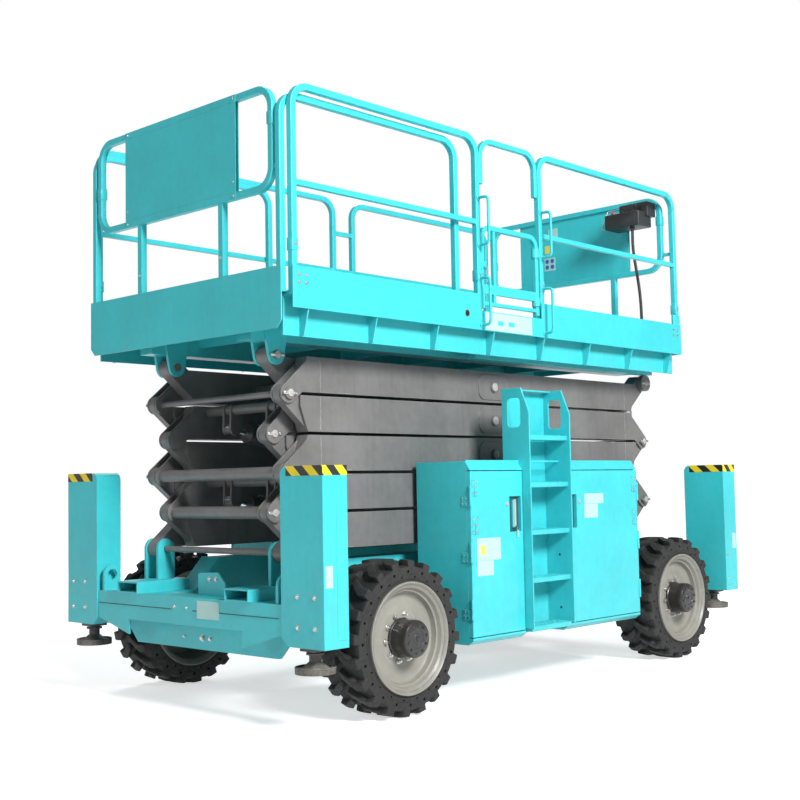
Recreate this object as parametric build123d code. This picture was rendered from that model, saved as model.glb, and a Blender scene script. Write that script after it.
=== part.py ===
from build123d import *
import math
import os

# Rough terrain scissor lift, in millimetres.
# +X points to the front, which is the end with the extension deck and the steered wheels.
# +Y points to the machine's left, which is the side with the ladder. +Z is up, with the ground at 0.

# Wheels and axles
wheel_base = 2795
tyre_radius = 420
tyre_width = 300
tyre_outer_y = 1094
lug_depth = 34
lug_sink = 26
lug_count = 20
lug_width = 58
lug_shoulder = 56
lug_shift = 76
lug_middle_gap = 4
rim_radius = 302
rim_bead = 20
rim_lip = 12
rim_well_radius = 262
rim_disc_depth = 62
rim_disc_thickness = 24
hub_radius = 100
hub_reach = 61
hub_flange = 32
hub_flange_depth = 30
hub_chamfer = 14
hub_gap = 0.3
axle_half_depth = 70
axle_half_width = 65
gear_case_radius = 140
pinion_nose_length = 200
pinion_nose_radius = 70
kingpin_y = 830
kingpin_inset = 170
fork_reach = 40
fork_web = 60
knuckle_half_height = 105
knuckle_radius = 62
fork_plate = 34
spindle_radius = 85
steering_barrel_radius = 38
steering_barrel_half_length = 230
steering_rod_radius = 16
steering_rod_half_length = 700
steering_offset = 118

# Scissor stack
level_count = 5
level_pitch = 217.5
rear_pin_inset = 368
front_pin_inset = 258
base_pin_z = 884
beam_depth = 200
beam_thickness = 90
outer_beam_y = 575
inner_beam_y = 455
joint_pin_radius = 25
joint_pin_clearance = 0.5
lug_radius = 55
lug_root = 100
body_gap = 86
body_notch = 60
fork_gap = 5
fork_cheek = 13
end_taper = 140
pin_head_radius = 34
pin_head_height = 16
doubler_half_length = 150
doubler_half_height = 82
doubler_corner = 60
doubler_thickness = 6
centre_pin_radius = 30
centre_collar = 22
centre_collar_gap = 4
thin_tie_radius = 18
middle_tie_radius = 26
thick_tie_radius = 36
roller_radius = 60
roller_width = 42
roller_gap = 8
pin_overhang = 8

# Lift cylinders
barrel_end_u = 530
barrel_end_w = -50
rod_end_u = 1500
rod_end_w = -45
cylinder_y = 200
barrel_radius = 52
rod_radius = 24
eye_radius = 45
eye_width = 50
ear_thickness = 15
ear_gap = 0.4
eye_pin_radius = 16
cross_tube_radius = 30
barrel_tube_offset = 112
rod_tube_offset = 112
ear_edge = 3
ear_seat = 8
top_arm_tube_u = 1100
gland_length = 45
gland_step = 7
barrel_neck = 14
barrel_wall_end = 60
rod_start_gap = 90
rod_eye_inset = 20
rod_reserve = 120

# Chassis
beam_overhang = 680.5
end_beam_depth = 148
end_beam_bottom = 485
end_beam_top = 641
main_beam_inner_y = 335
main_beam_outer_y = 500
main_beam_bottom = 585
track_clearance = 1
clevis_plate = 20
clevis_gap = 5
base_clevis_edge = 6
base_clevis_half_length = 60
slope_front = 90
slope_back = 260
cross_member_x = 1000
cross_member_half = 60
cross_member_bottom = 600
cross_member_top = 720
bracket_x = 600
bracket_half = 40
bracket_height = 80
axle_mount_half = 90
seat_gap = 0.3
carrier_inset = 146
carrier_plate = 26
carrier_half_width = 790
carrier_taper = 150
carrier_bottom = 332
wing_plate = 12
wing_inner_y = 520
wing_drop = 86
tie_down_y = 785
tie_down_plate = 20
tie_down_inset = 65
tie_down_radius = 58
tie_down_rise = 92
tie_down_hole = 32
pocket_half_width = 100
pocket_y = 500
pocket_height = 66
pocket_wall = 8
pocket_proud = 25
pocket_length = 373

# Outriggers
housing_proud = 8
housing_length = 170
housing_outer_y = 1164
housing_width = 320
housing_bottom = 432
housing_top = 1347
leg_size = 110
leg_clearance = 0.4
leg_top_gap = 60
pad_radius = 105
pad_thickness = 26
pad_bottom = 300
pad_neck_radius = 32
pad_cone_radius = 72
pad_cone_height = 34
housing_round = 45
housing_cut = 45
bore_end_gap = 40
leg_step = 20

# Side cabinets
cabinet_front_gap = 127.5
cabinet_rear_gap = 87.5
cabinet_inner_y = 662
cabinet_outer_y = 1080
cabinet_bottom = 320
cabinet_top = 1372
cabinet_wall = 12
cabinet_chamfer = 52
door_thickness = 30
door_gap = 5
door_seat_gap = 0.3
door_sill = 40
door_head_gap = 2
frame_lip = 20
frame_depth = 60
hinge_radius = 9
hinge_leaf = 3
hinge_knuckle = 60
hinge_inset = 90
hinge_leaf_width = 70
hinge_gap = 0.3
latch_length = 210
latch_width = 110
latch_depth = 22
latch_bottom = 952
latch_inset = 15
latch_handle_width = 24
latch_handle_length = 160
latch_handle_depth = 12
louvre_count = 8
louvre_height = 18
louvre_length = 420
louvre_pitch = 46
louvre_bottom = 470
ladder_bay_front_x = 362
ladder_bay_rear_x = -62
ladder_bay_depth = 150

# Ladder
ladder_outer_y = 1140
ladder_inner_y = 935
ladder_plate = 10
ladder_bottom = 372
ladder_top = 1818
rung_pitch = 287
rung_height = 42
rung_depth = 120
rung_setback = 20
ladder_corner = 60
ladder_nose = 150
top_bar_depth = 60
top_bar_height = 12
grip_slot_width = 56
grip_slot_length = 190
ladder_seat_gap = 0.3

# Engine
engine_length = 620
engine_width = 330
engine_height = 560

# Platform
deck_front_inset = 22
deck_rear_reach = 76
deck_half_width = 930
deck_rise = 278.5
deck_plate = 10
toe_plate = 8
toe_rise = 141
toe_drop = 80
side_frame_drop = 218
side_frame_y = 850
side_frame_plate = 12
gate_front_x = 540
gate_rear_x = -80
gusset_count = 8
gusset_plate = 8
gusset_inset = 120
gusset_foot = 35
cross_beam_drop = 150
cross_beam_pitch = 600
cross_beam_plate = 10
sill_height = 120
spine_inset = 60
spine_inner_y = 395
spine_outer_y = 515
spine_drop = 205
platform_track_front_x = 300
platform_track_inset = 10
platform_track_half_width = 35
platform_clevis_half_length = 110

# Guard rails, all of square tube
rail_half = 19
rail_edge = 5
rail_seat_gap = 0.3
rail_height = 1111
mid_rail_rise = 588
mid_rail_half = 15
rail_end_inset = 25
stub_half = 11
stub_rise = 90
gate_post_front_gap = 12
gate_post_rear_gap = 24
arch_drop = 280
arch_gap = 4
arch_half = 16
clamp_half = 15
right_gap_front_x = 20
right_gap_rear_x = -180
right_link_drop = 240
handle_reach = 98
handle_radius = 9
handle_corner = 30
upper_handle_rise = 442
upper_handle_length = 293
lower_handle_drop = 50
lower_handle_length = 288
rail_corner = 110
end_panel_half_width = 520
end_panel_plate = 4
end_frame_half_width = 800
end_frame_rise = 572
end_post_y = 380

# Extension deck
extension_reach = 44
extension_rear_x = 620
extension_plate = 10
extension_gap = 5.3
extension_strip_y = 800
extension_strip_width = 30
extension_seat_gap = 0.3
extension_half_width = 880
extension_rail_y = 858
extension_rail_drop = 48
extension_end_drop = 186
extension_end_plate = 8
extension_end_half_width = 885
extension_end_corner = 40
extension_strip_end = 20
extension_rail_inset = 60

# Gate
gate_half = 16
gate_height = 505
gate_rise = 60
gate_corner = 70
gate_hinge_inset = 22
gate_latch_inset = 50
gate_bar_rise = 92
gate_bar_height = 58
gate_bar_half_depth = 11
gate_inner_post_inset = 118
gate_sill_rise = 20
gate_hinge_height = 60

# Control box and its cable
box_length = 210
box_width = 320
box_height = 190
cable_radius = 11
box_y = 620
box_drop = 30
cable_inset = 40
cable_drop = 891
cable_bends = [(0, 60, 60), (12, 66, 140), (16, 80, 250), (8, 96, 380), (-6, 106, 520), (-14, 108, 680)]

os.makedirs("parts", exist_ok=True)

# Places worked out from the sizes above
front_axle_x = wheel_base / 2
rear_axle_x = -wheel_base / 2
axle_z = tyre_radius
tyre_middle_y = tyre_outer_y - tyre_width / 2
beam_half_length = front_axle_x + beam_overhang
front_pin_x = beam_half_length - front_pin_inset
rear_pin_x = rear_pin_inset - beam_half_length
middle_pin_x = (front_pin_x + rear_pin_x) / 2
pin_half_span = front_pin_x - middle_pin_x
carrier_front_x = beam_half_length - carrier_inset
tie_down_x = beam_half_length - tie_down_inset
pocket_front_x = beam_half_length + pocket_proud
pocket_rear_x = pocket_front_x - pocket_length
housing_outer_x = beam_half_length + housing_proud
cabinet_front_x = front_axle_x - tyre_radius - cabinet_front_gap
cabinet_rear_x = rear_axle_x + tyre_radius + cabinet_rear_gap
deck_front_x = beam_half_length - deck_front_inset
deck_rear_x = rear_pin_x - deck_rear_reach
extension_front_x = deck_front_x + extension_reach
half_pitch = level_pitch / 2
half_beam = beam_depth / 2
half_thickness = beam_thickness / 2
top_pin_z = base_pin_z + level_count * level_pitch
track_z = base_pin_z - roller_radius - track_clearance
housing_inner_x = housing_outer_x - housing_length
housing_inner_y = housing_outer_y - housing_width
leg_x = housing_outer_x - housing_length / 2
leg_y = housing_outer_y - housing_width / 2
deck_top = top_pin_z + deck_rise
deck_bottom = deck_top - deck_plate
toe_top = deck_top + toe_rise
toe_bottom = deck_top - toe_drop
side_frame_bottom = deck_top - side_frame_drop
cross_beam_bottom = deck_top - cross_beam_drop
spine_bottom = deck_top - spine_drop
extension_end_bottom = deck_top - extension_end_drop
rail_top = deck_top + rail_height
rail_mid = deck_top + mid_rail_rise
end_frame_bottom = deck_top + end_frame_rise
upper_handle_bottom = deck_top + upper_handle_rise
upper_handle_top = upper_handle_bottom + upper_handle_length
lower_handle_bottom = deck_top - lower_handle_drop
lower_handle_top = lower_handle_bottom + lower_handle_length
gate_bottom = deck_top + gate_rise
gate_top = gate_bottom + gate_height
gate_bar_bottom = gate_bottom + gate_bar_rise
rail_y = deck_half_width - toe_plate - rail_half - rail_seat_gap
rail_end_x = deck_front_x - rail_end_inset
rear_rail_end_x = deck_rear_x + rail_end_inset
gate_post_front_x = gate_front_x - gate_post_front_gap
gate_post_rear_x = gate_rear_x - gate_post_rear_gap


def block(x1, x2, y1, y2, z1, z2):
    """A box between two corners."""
    centre = Location(((x1 + x2) / 2, (y1 + y2) / 2, (z1 + z2) / 2))
    return centre * Box(abs(x2 - x1), abs(y2 - y1), abs(z2 - z1))


def bar_y(x, z, y1, y2, radius):
    """A round bar along Y."""
    place = Location((x, (y1 + y2) / 2, z), (90, 0, 0))
    return place * Cylinder(radius, abs(y2 - y1))


def bar_z(x, y, z1, z2, radius):
    """A round bar along Z."""
    return Location((x, y, (z1 + z2) / 2)) * Cylinder(radius, abs(z2 - z1))


def plate_xz(points, y1, y2):
    """A flat plate cut to an outline in X and Z, between two values of Y."""
    outline = make_face(Polyline(*[(x, y1, z) for x, z in points], close=True))
    return extrude(outline, amount=y2 - y1, dir=(0, 1, 0))


def plate_yz(points, x1, x2):
    """A flat plate cut to an outline in Y and Z, between two values of X."""
    outline = make_face(Polyline(*[(x1, y, z) for y, z in points], close=True))
    return extrude(outline, amount=x2 - x1, dir=(1, 0, 0))


def square_section(half, edge):
    """The section of a square tube with slightly rounded edges."""
    return RectangleRounded(2 * half, 2 * half, edge)


def bent_tube(points, corner, half, normal):
    """A square tube along straight runs with rounded corners, in the plane that a normal gives."""
    path = FilletPolyline(*points, radius=corner)
    start = Plane(origin=path @ 0, x_dir=normal, z_dir=path % 0)
    return sweep(start * square_section(half, rail_edge), path)


def bent_rod(points, corner, radius):
    """A round rod along straight runs with rounded corners."""
    path = FilletPolyline(*points, radius=corner)
    start = Plane(origin=path @ 0, z_dir=path % 0)
    return sweep(start * Circle(radius), path)


def mirrored(shape):
    """The same piece on the machine's other side."""
    return mirror(shape, about=Plane.XZ)


def join(pieces):
    """One fused piece."""
    result = pieces[0]
    for piece in pieces[1:]:
        result = result + piece
    return result


def save(shapes, name):
    """Write one node, of one solid or more."""
    solids = []
    for shape in shapes:
        solids.extend(shape.solids())
    result = solids[0] if len(solids) == 1 else Compound(children=solids)
    export_step(result, "parts/" + name + ".step")


# Wheels: one shape is made about the origin, with its outer side towards +Y

def polygon_prism(radius, sides, half):
    """A prism about Y with flat sides, from its corner radius."""
    outline = Plane.XZ * RegularPolygon(radius, sides)
    return extrude(outline, amount=half, both=True)


def tyre_lug(side, turn):
    """One lug: straight over the shoulder, then slanted to the tread's middle, as one flat topped block."""
    half = tyre_width / 2
    near = lug_middle_gap
    bend = half - lug_shoulder
    reach = (lug_shift + lug_width) / 2
    outline = make_face(Polyline(
        (reach, side * half), (reach - lug_width, side * half), (reach - lug_width, side * bend),
        (-reach, side * near), (lug_width - reach, side * near), (reach, side * bend),
        close=True,
    ))
    top = math.sqrt(tyre_radius ** 2 - reach ** 2)
    bottom = tyre_radius - lug_depth - lug_sink
    return Rotation(0, turn, 0) * extrude(Location((0, 0, bottom)) * outline, amount=top - bottom, dir=(0, 0, 1))


def tyre_shape():
    """A solid tyre with bent lugs on each half of its tread, about the origin."""
    core = polygon_prism(tyre_radius - lug_depth, lug_count, tyre_width / 2)
    lugs = []
    step = 360 / lug_count
    for side in (-1, 1):
        for number in range(lug_count):
            lugs.append(tyre_lug(side, number * step + (step / 2 if side > 0 else 0)))
    seat = rim_radius - rim_bead
    bore_sides = 2 * lug_count
    bore = polygon_prism(seat / math.cos(math.pi / bore_sides), bore_sides, tyre_width)
    return core + lugs - bore


def wheel_shape():
    """A dished rim with its planetary hub, about the origin, outer side towards +Y."""
    half = tyre_width / 2
    sidewall = half + seat_gap
    disc_y = half - rim_disc_depth
    disc_back = disc_y - rim_disc_thickness
    seat = rim_radius - rim_bead - seat_gap
    bore = hub_radius - hub_gap
    outline = make_face(Polyline(
        (bore - 10, disc_back, 0),
        (rim_well_radius, disc_back, 0),
        (rim_well_radius, -sidewall - rim_lip, 0),
        (rim_radius, -sidewall - rim_lip, 0),
        (rim_radius, -sidewall, 0),
        (seat, -sidewall, 0),
        (seat, sidewall, 0),
        (rim_radius, sidewall, 0),
        (rim_radius, sidewall + rim_lip, 0),
        (rim_radius - 10, sidewall + rim_lip + 4, 0),
        (rim_radius - 18, sidewall + rim_lip, 0),
        (rim_well_radius + 4, half - 14, 0),
        (rim_well_radius - 12, disc_y, 0),
        (bore - 10, disc_y, 0),
        close=True,
    ))
    rim = revolve(outline, axis=Axis.Y)
    hub_face = half + hub_reach
    hub_outline = make_face(Polyline(
        (0, disc_back - hub_flange_depth, 0),
        (hub_radius + hub_flange, disc_back - hub_flange_depth, 0),
        (hub_radius + hub_flange, disc_back, 0),
        (bore - 10, disc_back, 0),
        (bore - 10, disc_y, 0),
        (hub_radius, disc_y, 0),
        (hub_radius, hub_face - hub_chamfer, 0),
        (hub_radius - hub_chamfer, hub_face, 0),
        (0, hub_face, 0),
        close=True,
    ))
    return rim + revolve(hub_outline, axis=Axis.Y)


tyre = tyre_shape()
wheel = wheel_shape()
for end_word, axle_x in (("front", front_axle_x), ("rear", rear_axle_x)):
    place = Location((axle_x, tyre_middle_y, axle_z))
    for word, shape in (("tyre", tyre), ("wheel", wheel)):
        left = place * shape
        save([left], word + "_" + end_word + "_left")
        save([mirrored(left)], word + "_" + end_word + "_right")


# Axles and knuckles

hub_back_y = tyre_outer_y - rim_disc_depth - rim_disc_thickness - hub_flange_depth
fork_inner_z = knuckle_half_height + seat_gap
fork_outer_z = fork_inner_z + fork_plate


def axle_beam(x, end_y):
    """An axle housing with a round gear case in the middle."""
    beam = block(
        x - axle_half_width, x + axle_half_width,
        -end_y, end_y, axle_z - axle_half_depth, axle_z + axle_half_depth,
    )
    case = Location((x, 0, axle_z)) * Sphere(gear_case_radius)
    inward = math.copysign(gear_case_radius, x)
    nose = Location((x - inward, 0, axle_z), (0, 90, 0)) * Cylinder(pinion_nose_radius, pinion_nose_length)
    return beam + case + nose


def steered_axle():
    """The front axle, with a fork for each knuckle and the steering cylinder along its front."""
    web_y = kingpin_y - kingpin_inset
    pieces = [axle_beam(front_axle_x, web_y + fork_web)]
    for side in (-1, 1):
        for level in (-1, 1):
            pieces.append(block(
                front_axle_x - axle_half_width, front_axle_x + axle_half_width,
                side * web_y, side * (kingpin_y + fork_reach),
                axle_z + level * fork_inner_z, axle_z + level * fork_outer_z,
            ))
        pieces.append(block(
            front_axle_x - axle_half_width, front_axle_x + axle_half_width,
            side * web_y, side * (web_y + fork_web), axle_z - fork_outer_z, axle_z + fork_outer_z,
        ))
        near = side * (steering_barrel_half_length - 2 * fork_plate)
        pieces.append(block(
            front_axle_x, front_axle_x + steering_offset, near, near + side * fork_plate,
            axle_z - axle_half_depth, axle_z + axle_half_depth,
        ))
    x = front_axle_x + steering_offset
    half = steering_barrel_half_length
    pieces.append(bar_y(x, axle_z, -half, half, steering_barrel_radius))
    half = steering_rod_half_length
    pieces.append(bar_y(x, axle_z, -half, half, steering_rod_radius))
    return join(pieces)


def fixed_axle():
    """The rear axle, with a round flange behind each wheel."""
    flange_inner_y = hub_back_y - fork_web
    axle = axle_beam(rear_axle_x, flange_inner_y + hub_flange_depth)
    for side in (-1, 1):
        axle += bar_y(rear_axle_x, axle_z, side * flange_inner_y, side * (hub_back_y - hub_gap), hub_radius)
    return axle


def knuckle():
    """The left steering knuckle, between the axle's two fork plates."""
    low = axle_z - knuckle_half_height
    body = bar_z(front_axle_x, kingpin_y, low, low + 2 * knuckle_half_height, knuckle_radius)
    return body + bar_y(front_axle_x, axle_z, kingpin_y, hub_back_y - hub_gap, spindle_radius)


save([steered_axle()], "front_axle")
save([fixed_axle()], "rear_axle")
save([knuckle()], "knuckle_left")
save([mirrored(knuckle())], "knuckle_right")


# Scissor arms. Each is drawn about its own centre pin, with u along the arm towards the front
# and w up across it. Slope +1 is low at the front, and slope -1 is high at the front.

def level_z(level):
    """Height of a level's centre pin."""
    return base_pin_z + (level - 0.5) * level_pitch


def arm_point(level, u, w):
    """A point of an arm, as X and Z."""
    return middle_pin_x + u, level_z(level) + w


def lug_face(level, slope, end):
    """Outline of the lug at one end: round about its pin, and wide where it meets the beam."""
    side = -slope * end
    pin = arm_point(level, end * pin_half_span, side * half_pitch)
    root = arm_point(level, end * (pin_half_span - lug_root), side * half_beam)
    tip = arm_point(level, end * (pin_half_span - end_taper), -side * half_beam * 0.8)
    ring = Location(pin) * Circle(lug_radius)
    return make_hull(ring.edges() + [Edge.make_line(root, tip)])


def xz_plate(outline, y1, y2):
    """A plate from an outline that was drawn flat with Z in place of Y."""
    turned = Plane(origin=(0, y1, 0), x_dir=(1, 0, 0), z_dir=(0, -1, 0)) * outline
    return extrude(turned, amount=y2 - y1, dir=(0, 1, 0))


def lug_plate(level, slope, end, y1, y2):
    """A lug plate, between two values of Y."""
    return xz_plate(lug_face(level, slope, end), y1, y2)


def arm_beam(level, slope, middle_y, low_lug, high_lug):
    """One side's beam of an arm, with a lug at each end."""
    y1 = middle_y - half_thickness
    y2 = middle_y + half_thickness
    body_end = pin_half_span - body_gap
    taper = pin_half_span - end_taper
    points = [
        (taper, slope * half_beam),
        (body_end, slope * (body_notch - half_beam)),
        (body_end, -slope * half_beam),
        (-taper, -slope * half_beam),
        (-body_end, slope * (half_beam - body_notch)),
        (-body_end, slope * half_beam),
    ]
    beam = plate_xz([arm_point(level, u, w) for u, w in points], y1, y2)
    for end in (1, -1):
        low = (end == slope)
        kind = low_lug if low else high_lug
        pin = arm_point(level, end * pin_half_span, -slope * end * half_pitch)
        if kind == "fork":
            beam += lug_plate(level, slope, end, y1, y1 + fork_cheek)
            beam += lug_plate(level, slope, end, y2 - fork_cheek, y2)
            beam += bar_y(pin[0], pin[1], y1, y2, joint_pin_radius)
        elif kind == "tongue":
            inset = fork_cheek + fork_gap
            beam += lug_plate(level, slope, end, y1 + inset, y2 - inset)
            beam -= bar_y(pin[0], pin[1], y1, y2, joint_pin_radius + joint_pin_clearance)
        else:
            beam += lug_plate(level, slope, end, y1, y2)
    return beam


def pin_head(level, u, w, y, reach):
    """A pin's round head on a beam's outer face."""
    x, z = arm_point(level, u, w)
    return bar_y(x, z, y, y + reach, pin_head_radius)


def doubler(level, y):
    """The plate with rounded corners that stiffens a beam round its centre pin."""
    outline = Location(arm_point(level, 0, 0)) * RectangleRounded(
        2 * doubler_half_length, 2 * doubler_half_height, doubler_corner,
    )
    return xz_plate(outline, y, y + doubler_thickness)


def slope_outer(level):
    """Slope of a level's outer arm."""
    return 1 if level % 2 == 1 else -1


def outer_arm(level):
    """An outer arm: two beams, the tie at its lower joint and its centre pins."""
    slope = slope_outer(level)
    low_kind = "base" if level == 1 else "fork"
    high_kind = "roller" if level == level_count else "tongue"
    beam = arm_beam(level, slope, outer_beam_y, low_kind, high_kind)
    face_y = outer_beam_y + half_thickness
    inner_y = outer_beam_y - half_thickness
    low_x, low_z = arm_point(level, slope * pin_half_span, -half_pitch)
    centre_x, centre_z = arm_point(level, 0, 0)
    beam += doubler(level, face_y)
    beam += pin_head(level, 0, 0, face_y, pin_head_height)
    beam += bar_y(centre_x, centre_z, inner_beam_y - half_thickness, inner_y, centre_pin_radius)
    collar_y = inner_beam_y + half_thickness + centre_collar_gap
    beam += bar_y(centre_x, centre_z, collar_y, inner_y, centre_pin_radius + centre_collar)
    if level > 1:
        beam += bar_y(low_x, low_z, face_y, face_y + pin_head_height, pin_head_radius)
    else:
        reach = clevis_gap + clevis_plate + pin_overhang
        beam += bar_y(low_x, low_z, face_y, face_y + reach, joint_pin_radius)
    if level == level_count:
        high_x, high_z = arm_point(level, -slope * pin_half_span, half_pitch)
        roller_y = face_y + clevis_gap
        beam += bar_y(high_x, high_z, face_y, roller_y, joint_pin_radius)
        beam += bar_y(high_x, high_z, roller_y, roller_y + roller_width, roller_radius)
    tie_radius = thick_tie_radius if level in (2, 3) else thin_tie_radius
    tie = bar_y(low_x, low_z, -inner_y, inner_y, tie_radius)
    return beam + mirrored(beam) + tie


def ear_pair(level, pin_u, pin_w, tube_u, tube_w):
    """Two pairs of ears on a cross tube, one pair about each cylinder's eye."""
    pieces = []
    pin = arm_point(level, pin_u, pin_w)
    tube = arm_point(level, tube_u, tube_w)
    ring = Location(pin) * Circle(eye_radius - ear_edge)
    seat = Location(tube) * Circle(cross_tube_radius + ear_seat)
    outline = make_hull(ring.edges() + seat.edges())
    for side in (-1, 1):
        middle = side * cylinder_y
        for hand in (-1, 1):
            near = middle + hand * (eye_width / 2 + ear_gap)
            far = near + hand * ear_thickness
            low = min(near, far)
            pieces.append(xz_plate(outline, low, low + ear_thickness))
    return pieces


def inner_arm(level):
    """An inner arm: two beams, the tie at its lower joint and the tube that carries the cylinders."""
    slope = -slope_outer(level)
    low_kind = "roller" if level == 1 else "fork"
    high_kind = "base" if level == level_count else "tongue"
    beam = arm_beam(level, slope, inner_beam_y, low_kind, high_kind)
    inner_y = inner_beam_y - half_thickness
    centre_x, centre_z = arm_point(level, 0, 0)
    beam -= bar_y(
        centre_x, centre_z, inner_y - 1, inner_beam_y + half_thickness + 1,
        centre_pin_radius + joint_pin_clearance,
    )
    low_x, low_z = arm_point(level, slope * pin_half_span, -half_pitch)
    pieces = [beam, mirrored(beam)]
    if level == 1:
        for side in (-1, 1):
            roller_y = side * (inner_y - roller_gap)
            pieces.append(bar_y(low_x, low_z, roller_y, roller_y - side * roller_width, roller_radius))
    if level in (1, 2):
        pieces.append(bar_y(low_x, low_z, -inner_y, inner_y, thick_tie_radius))
    elif level in (3, 5):
        pieces.append(bar_y(low_x, low_z, -inner_y, inner_y, middle_tie_radius))
    if level == level_count:
        high_x, high_z = arm_point(level, -slope * pin_half_span, half_pitch)
        reach = half_thickness + clevis_gap + clevis_plate + pin_overhang
        for side in (-1, 1):
            middle = side * inner_beam_y
            pieces.append(bar_y(high_x, high_z, middle - reach, middle + reach, joint_pin_radius))
        x, z = arm_point(level, top_arm_tube_u, 0)
        pieces.append(bar_y(x, z, -inner_y, inner_y, cross_tube_radius))
    elif level % 2 == 1:
        tube_u = barrel_end_u - barrel_tube_offset
        x, z = arm_point(level, tube_u, barrel_end_w)
        pieces.append(bar_y(x, z, -inner_y, inner_y, cross_tube_radius))
        pieces.extend(ear_pair(level, barrel_end_u, barrel_end_w, tube_u, barrel_end_w))
        x, z = arm_point(level, barrel_end_u, barrel_end_w)
        reach = eye_width / 2 + ear_gap + ear_thickness
        for side in (-1, 1):
            pieces.append(bar_y(x, z, side * cylinder_y - reach, side * cylinder_y + reach, eye_pin_radius))
    else:
        tube_w = rod_end_w + rod_tube_offset
        x, z = arm_point(level, rod_end_u, tube_w)
        pieces.append(bar_y(x, z, -inner_y, inner_y, cross_tube_radius))
        pieces.extend(ear_pair(level, rod_end_u, rod_end_w, rod_end_u, tube_w))
    return join(pieces)


for level in range(1, level_count + 1):
    save([outer_arm(level)], "arm_outer_" + str(level))
    save([inner_arm(level)], "arm_inner_" + str(level))


# Lift cylinders: a pair between arms 1 and 2, and a pair between arms 3 and 4

def bar_x(start, end, radius):
    """A round bar along X on the origin's axis."""
    return Location(((start + end) / 2, 0, 0), (0, 90, 0)) * Cylinder(radius, end - start)


def cylinder_eye():
    """The flat eye at a cylinder's end, about the origin."""
    return bar_y(0, 0, -eye_width / 2, eye_width / 2, eye_radius)


def lift_barrel(length):
    """A barrel from its eye at the origin along X, bored for its rod."""
    start = eye_radius + barrel_neck
    end = length - rod_reserve
    barrel = bar_x(start, end, barrel_radius)
    barrel += bar_x(end - gland_length, end, barrel_radius + gland_step)
    barrel += bar_x(0, start + 1, eye_width / 2)
    barrel += cylinder_eye()
    barrel -= bar_y(0, 0, -eye_width, eye_width, eye_pin_radius + joint_pin_clearance)
    return barrel - bar_x(start + barrel_wall_end, end + 1, rod_radius + joint_pin_clearance)


def lift_rod(length):
    """A rod from inside its barrel to its own eye."""
    rod = bar_x(eye_radius + barrel_neck + rod_start_gap, length - rod_eye_inset, rod_radius)
    return rod + Location((length, 0, 0)) * cylinder_eye()


def cylinder_pair(level):
    """Barrels and rods of the two cylinders that start on one inner arm."""
    x1, z1 = arm_point(level, barrel_end_u, barrel_end_w)
    x2, z2 = arm_point(level + 1, rod_end_u, rod_end_w)
    length = math.hypot(x2 - x1, z2 - z1)
    tilt = math.degrees(math.atan2(z2 - z1, x2 - x1))
    places = [Location((x1, side * cylinder_y, z1), (0, -tilt, 0)) for side in (-1, 1)]
    barrels = [place * lift_barrel(length) for place in places]
    rods = [place * lift_rod(length) for place in places]
    return barrels, rods


for level, word in ((1, "lower"), (3, "upper")):
    barrels, rods = cylinder_pair(level)
    save(barrels, "lift_barrels_" + word)
    save(rods, "lift_rods_" + word)


# Chassis frame

def fork_pocket(side):
    """A rectangular tube that takes one tine of a lift truck, lying on the front beam."""
    low = side * pocket_y - pocket_half_width
    high = side * pocket_y + pocket_half_width
    top = end_beam_top + pocket_height
    outer = block(pocket_rear_x, pocket_front_x, low, high, end_beam_top, top)
    inner = block(
        pocket_rear_x - 1, pocket_front_x + 1,
        low + pocket_wall, high - pocket_wall, end_beam_top + pocket_wall, top - pocket_wall,
    )
    return outer - inner


def main_beam(side):
    """A long beam whose top steps up to the track that the first arms roll on."""
    end_face = beam_half_length - end_beam_depth
    return plate_xz(
        [
            (-end_face, main_beam_bottom), (end_face, main_beam_bottom), (end_face, end_beam_top),
            (front_pin_x - slope_front, end_beam_top), (front_pin_x - slope_back, track_z),
            (rear_pin_x - cross_member_half, track_z), (-end_face, end_beam_top),
        ],
        side * main_beam_inner_y, side * main_beam_outer_y,
    )


def base_clevis(side):
    """The two plates that hold one side's base pin, and the beam under the outer one."""
    outer_face = outer_beam_y + half_thickness + clevis_gap
    inner_face = outer_beam_y - half_thickness - clevis_gap
    inner_foot = end_beam_top + pocket_height
    plates = [
        (outer_face, end_beam_top, joint_pin_radius),
        (inner_face - clevis_plate, inner_foot, thin_tie_radius),
    ]
    pieces = []
    for near_y, foot_z, pin_radius in plates:
        ring = Location((front_pin_x, base_pin_z)) * Circle(lug_radius + base_clevis_edge)
        foot = Edge.make_line(
            (front_pin_x - base_clevis_half_length, foot_z), (front_pin_x + base_clevis_half_length, foot_z),
        )
        low = min(side * near_y, side * (near_y + clevis_plate))
        plate = xz_plate(make_hull(ring.edges() + [foot]), low, low + clevis_plate)
        hole = bar_y(
            front_pin_x, base_pin_z, low - 1, low + clevis_plate + 1, pin_radius + joint_pin_clearance,
        )
        pieces.append(plate - hole)
    pieces.append(block(
        front_pin_x - base_clevis_half_length, beam_half_length - end_beam_depth, side * main_beam_outer_y,
        side * (outer_face + clevis_plate), main_beam_bottom, end_beam_top,
    ))
    return pieces


def wing_plate_shape(end, side):
    """A tapered plate under an end beam, flush with its outer face."""
    x = end * beam_half_length
    return plate_yz(
        [
            (side * housing_inner_y, end_beam_bottom), (side * wing_inner_y, end_beam_bottom),
            (side * wing_inner_y, end_beam_bottom - wing_drop),
        ],
        min(x, x - end * wing_plate), max(x, x - end * wing_plate),
    )


def axle_carrier(end):
    """The deep cross plate near one end, with its lower corners cut away."""
    half = carrier_half_width
    low = half - carrier_taper
    x = end * carrier_front_x
    return plate_yz(
        [
            (-half, end_beam_top - 1), (half, end_beam_top - 1), (half, end_beam_bottom), (low, carrier_bottom),
            (-low, carrier_bottom), (-half, end_beam_bottom),
        ],
        min(x, x - end * carrier_plate), max(x, x - end * carrier_plate),
    )


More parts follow.
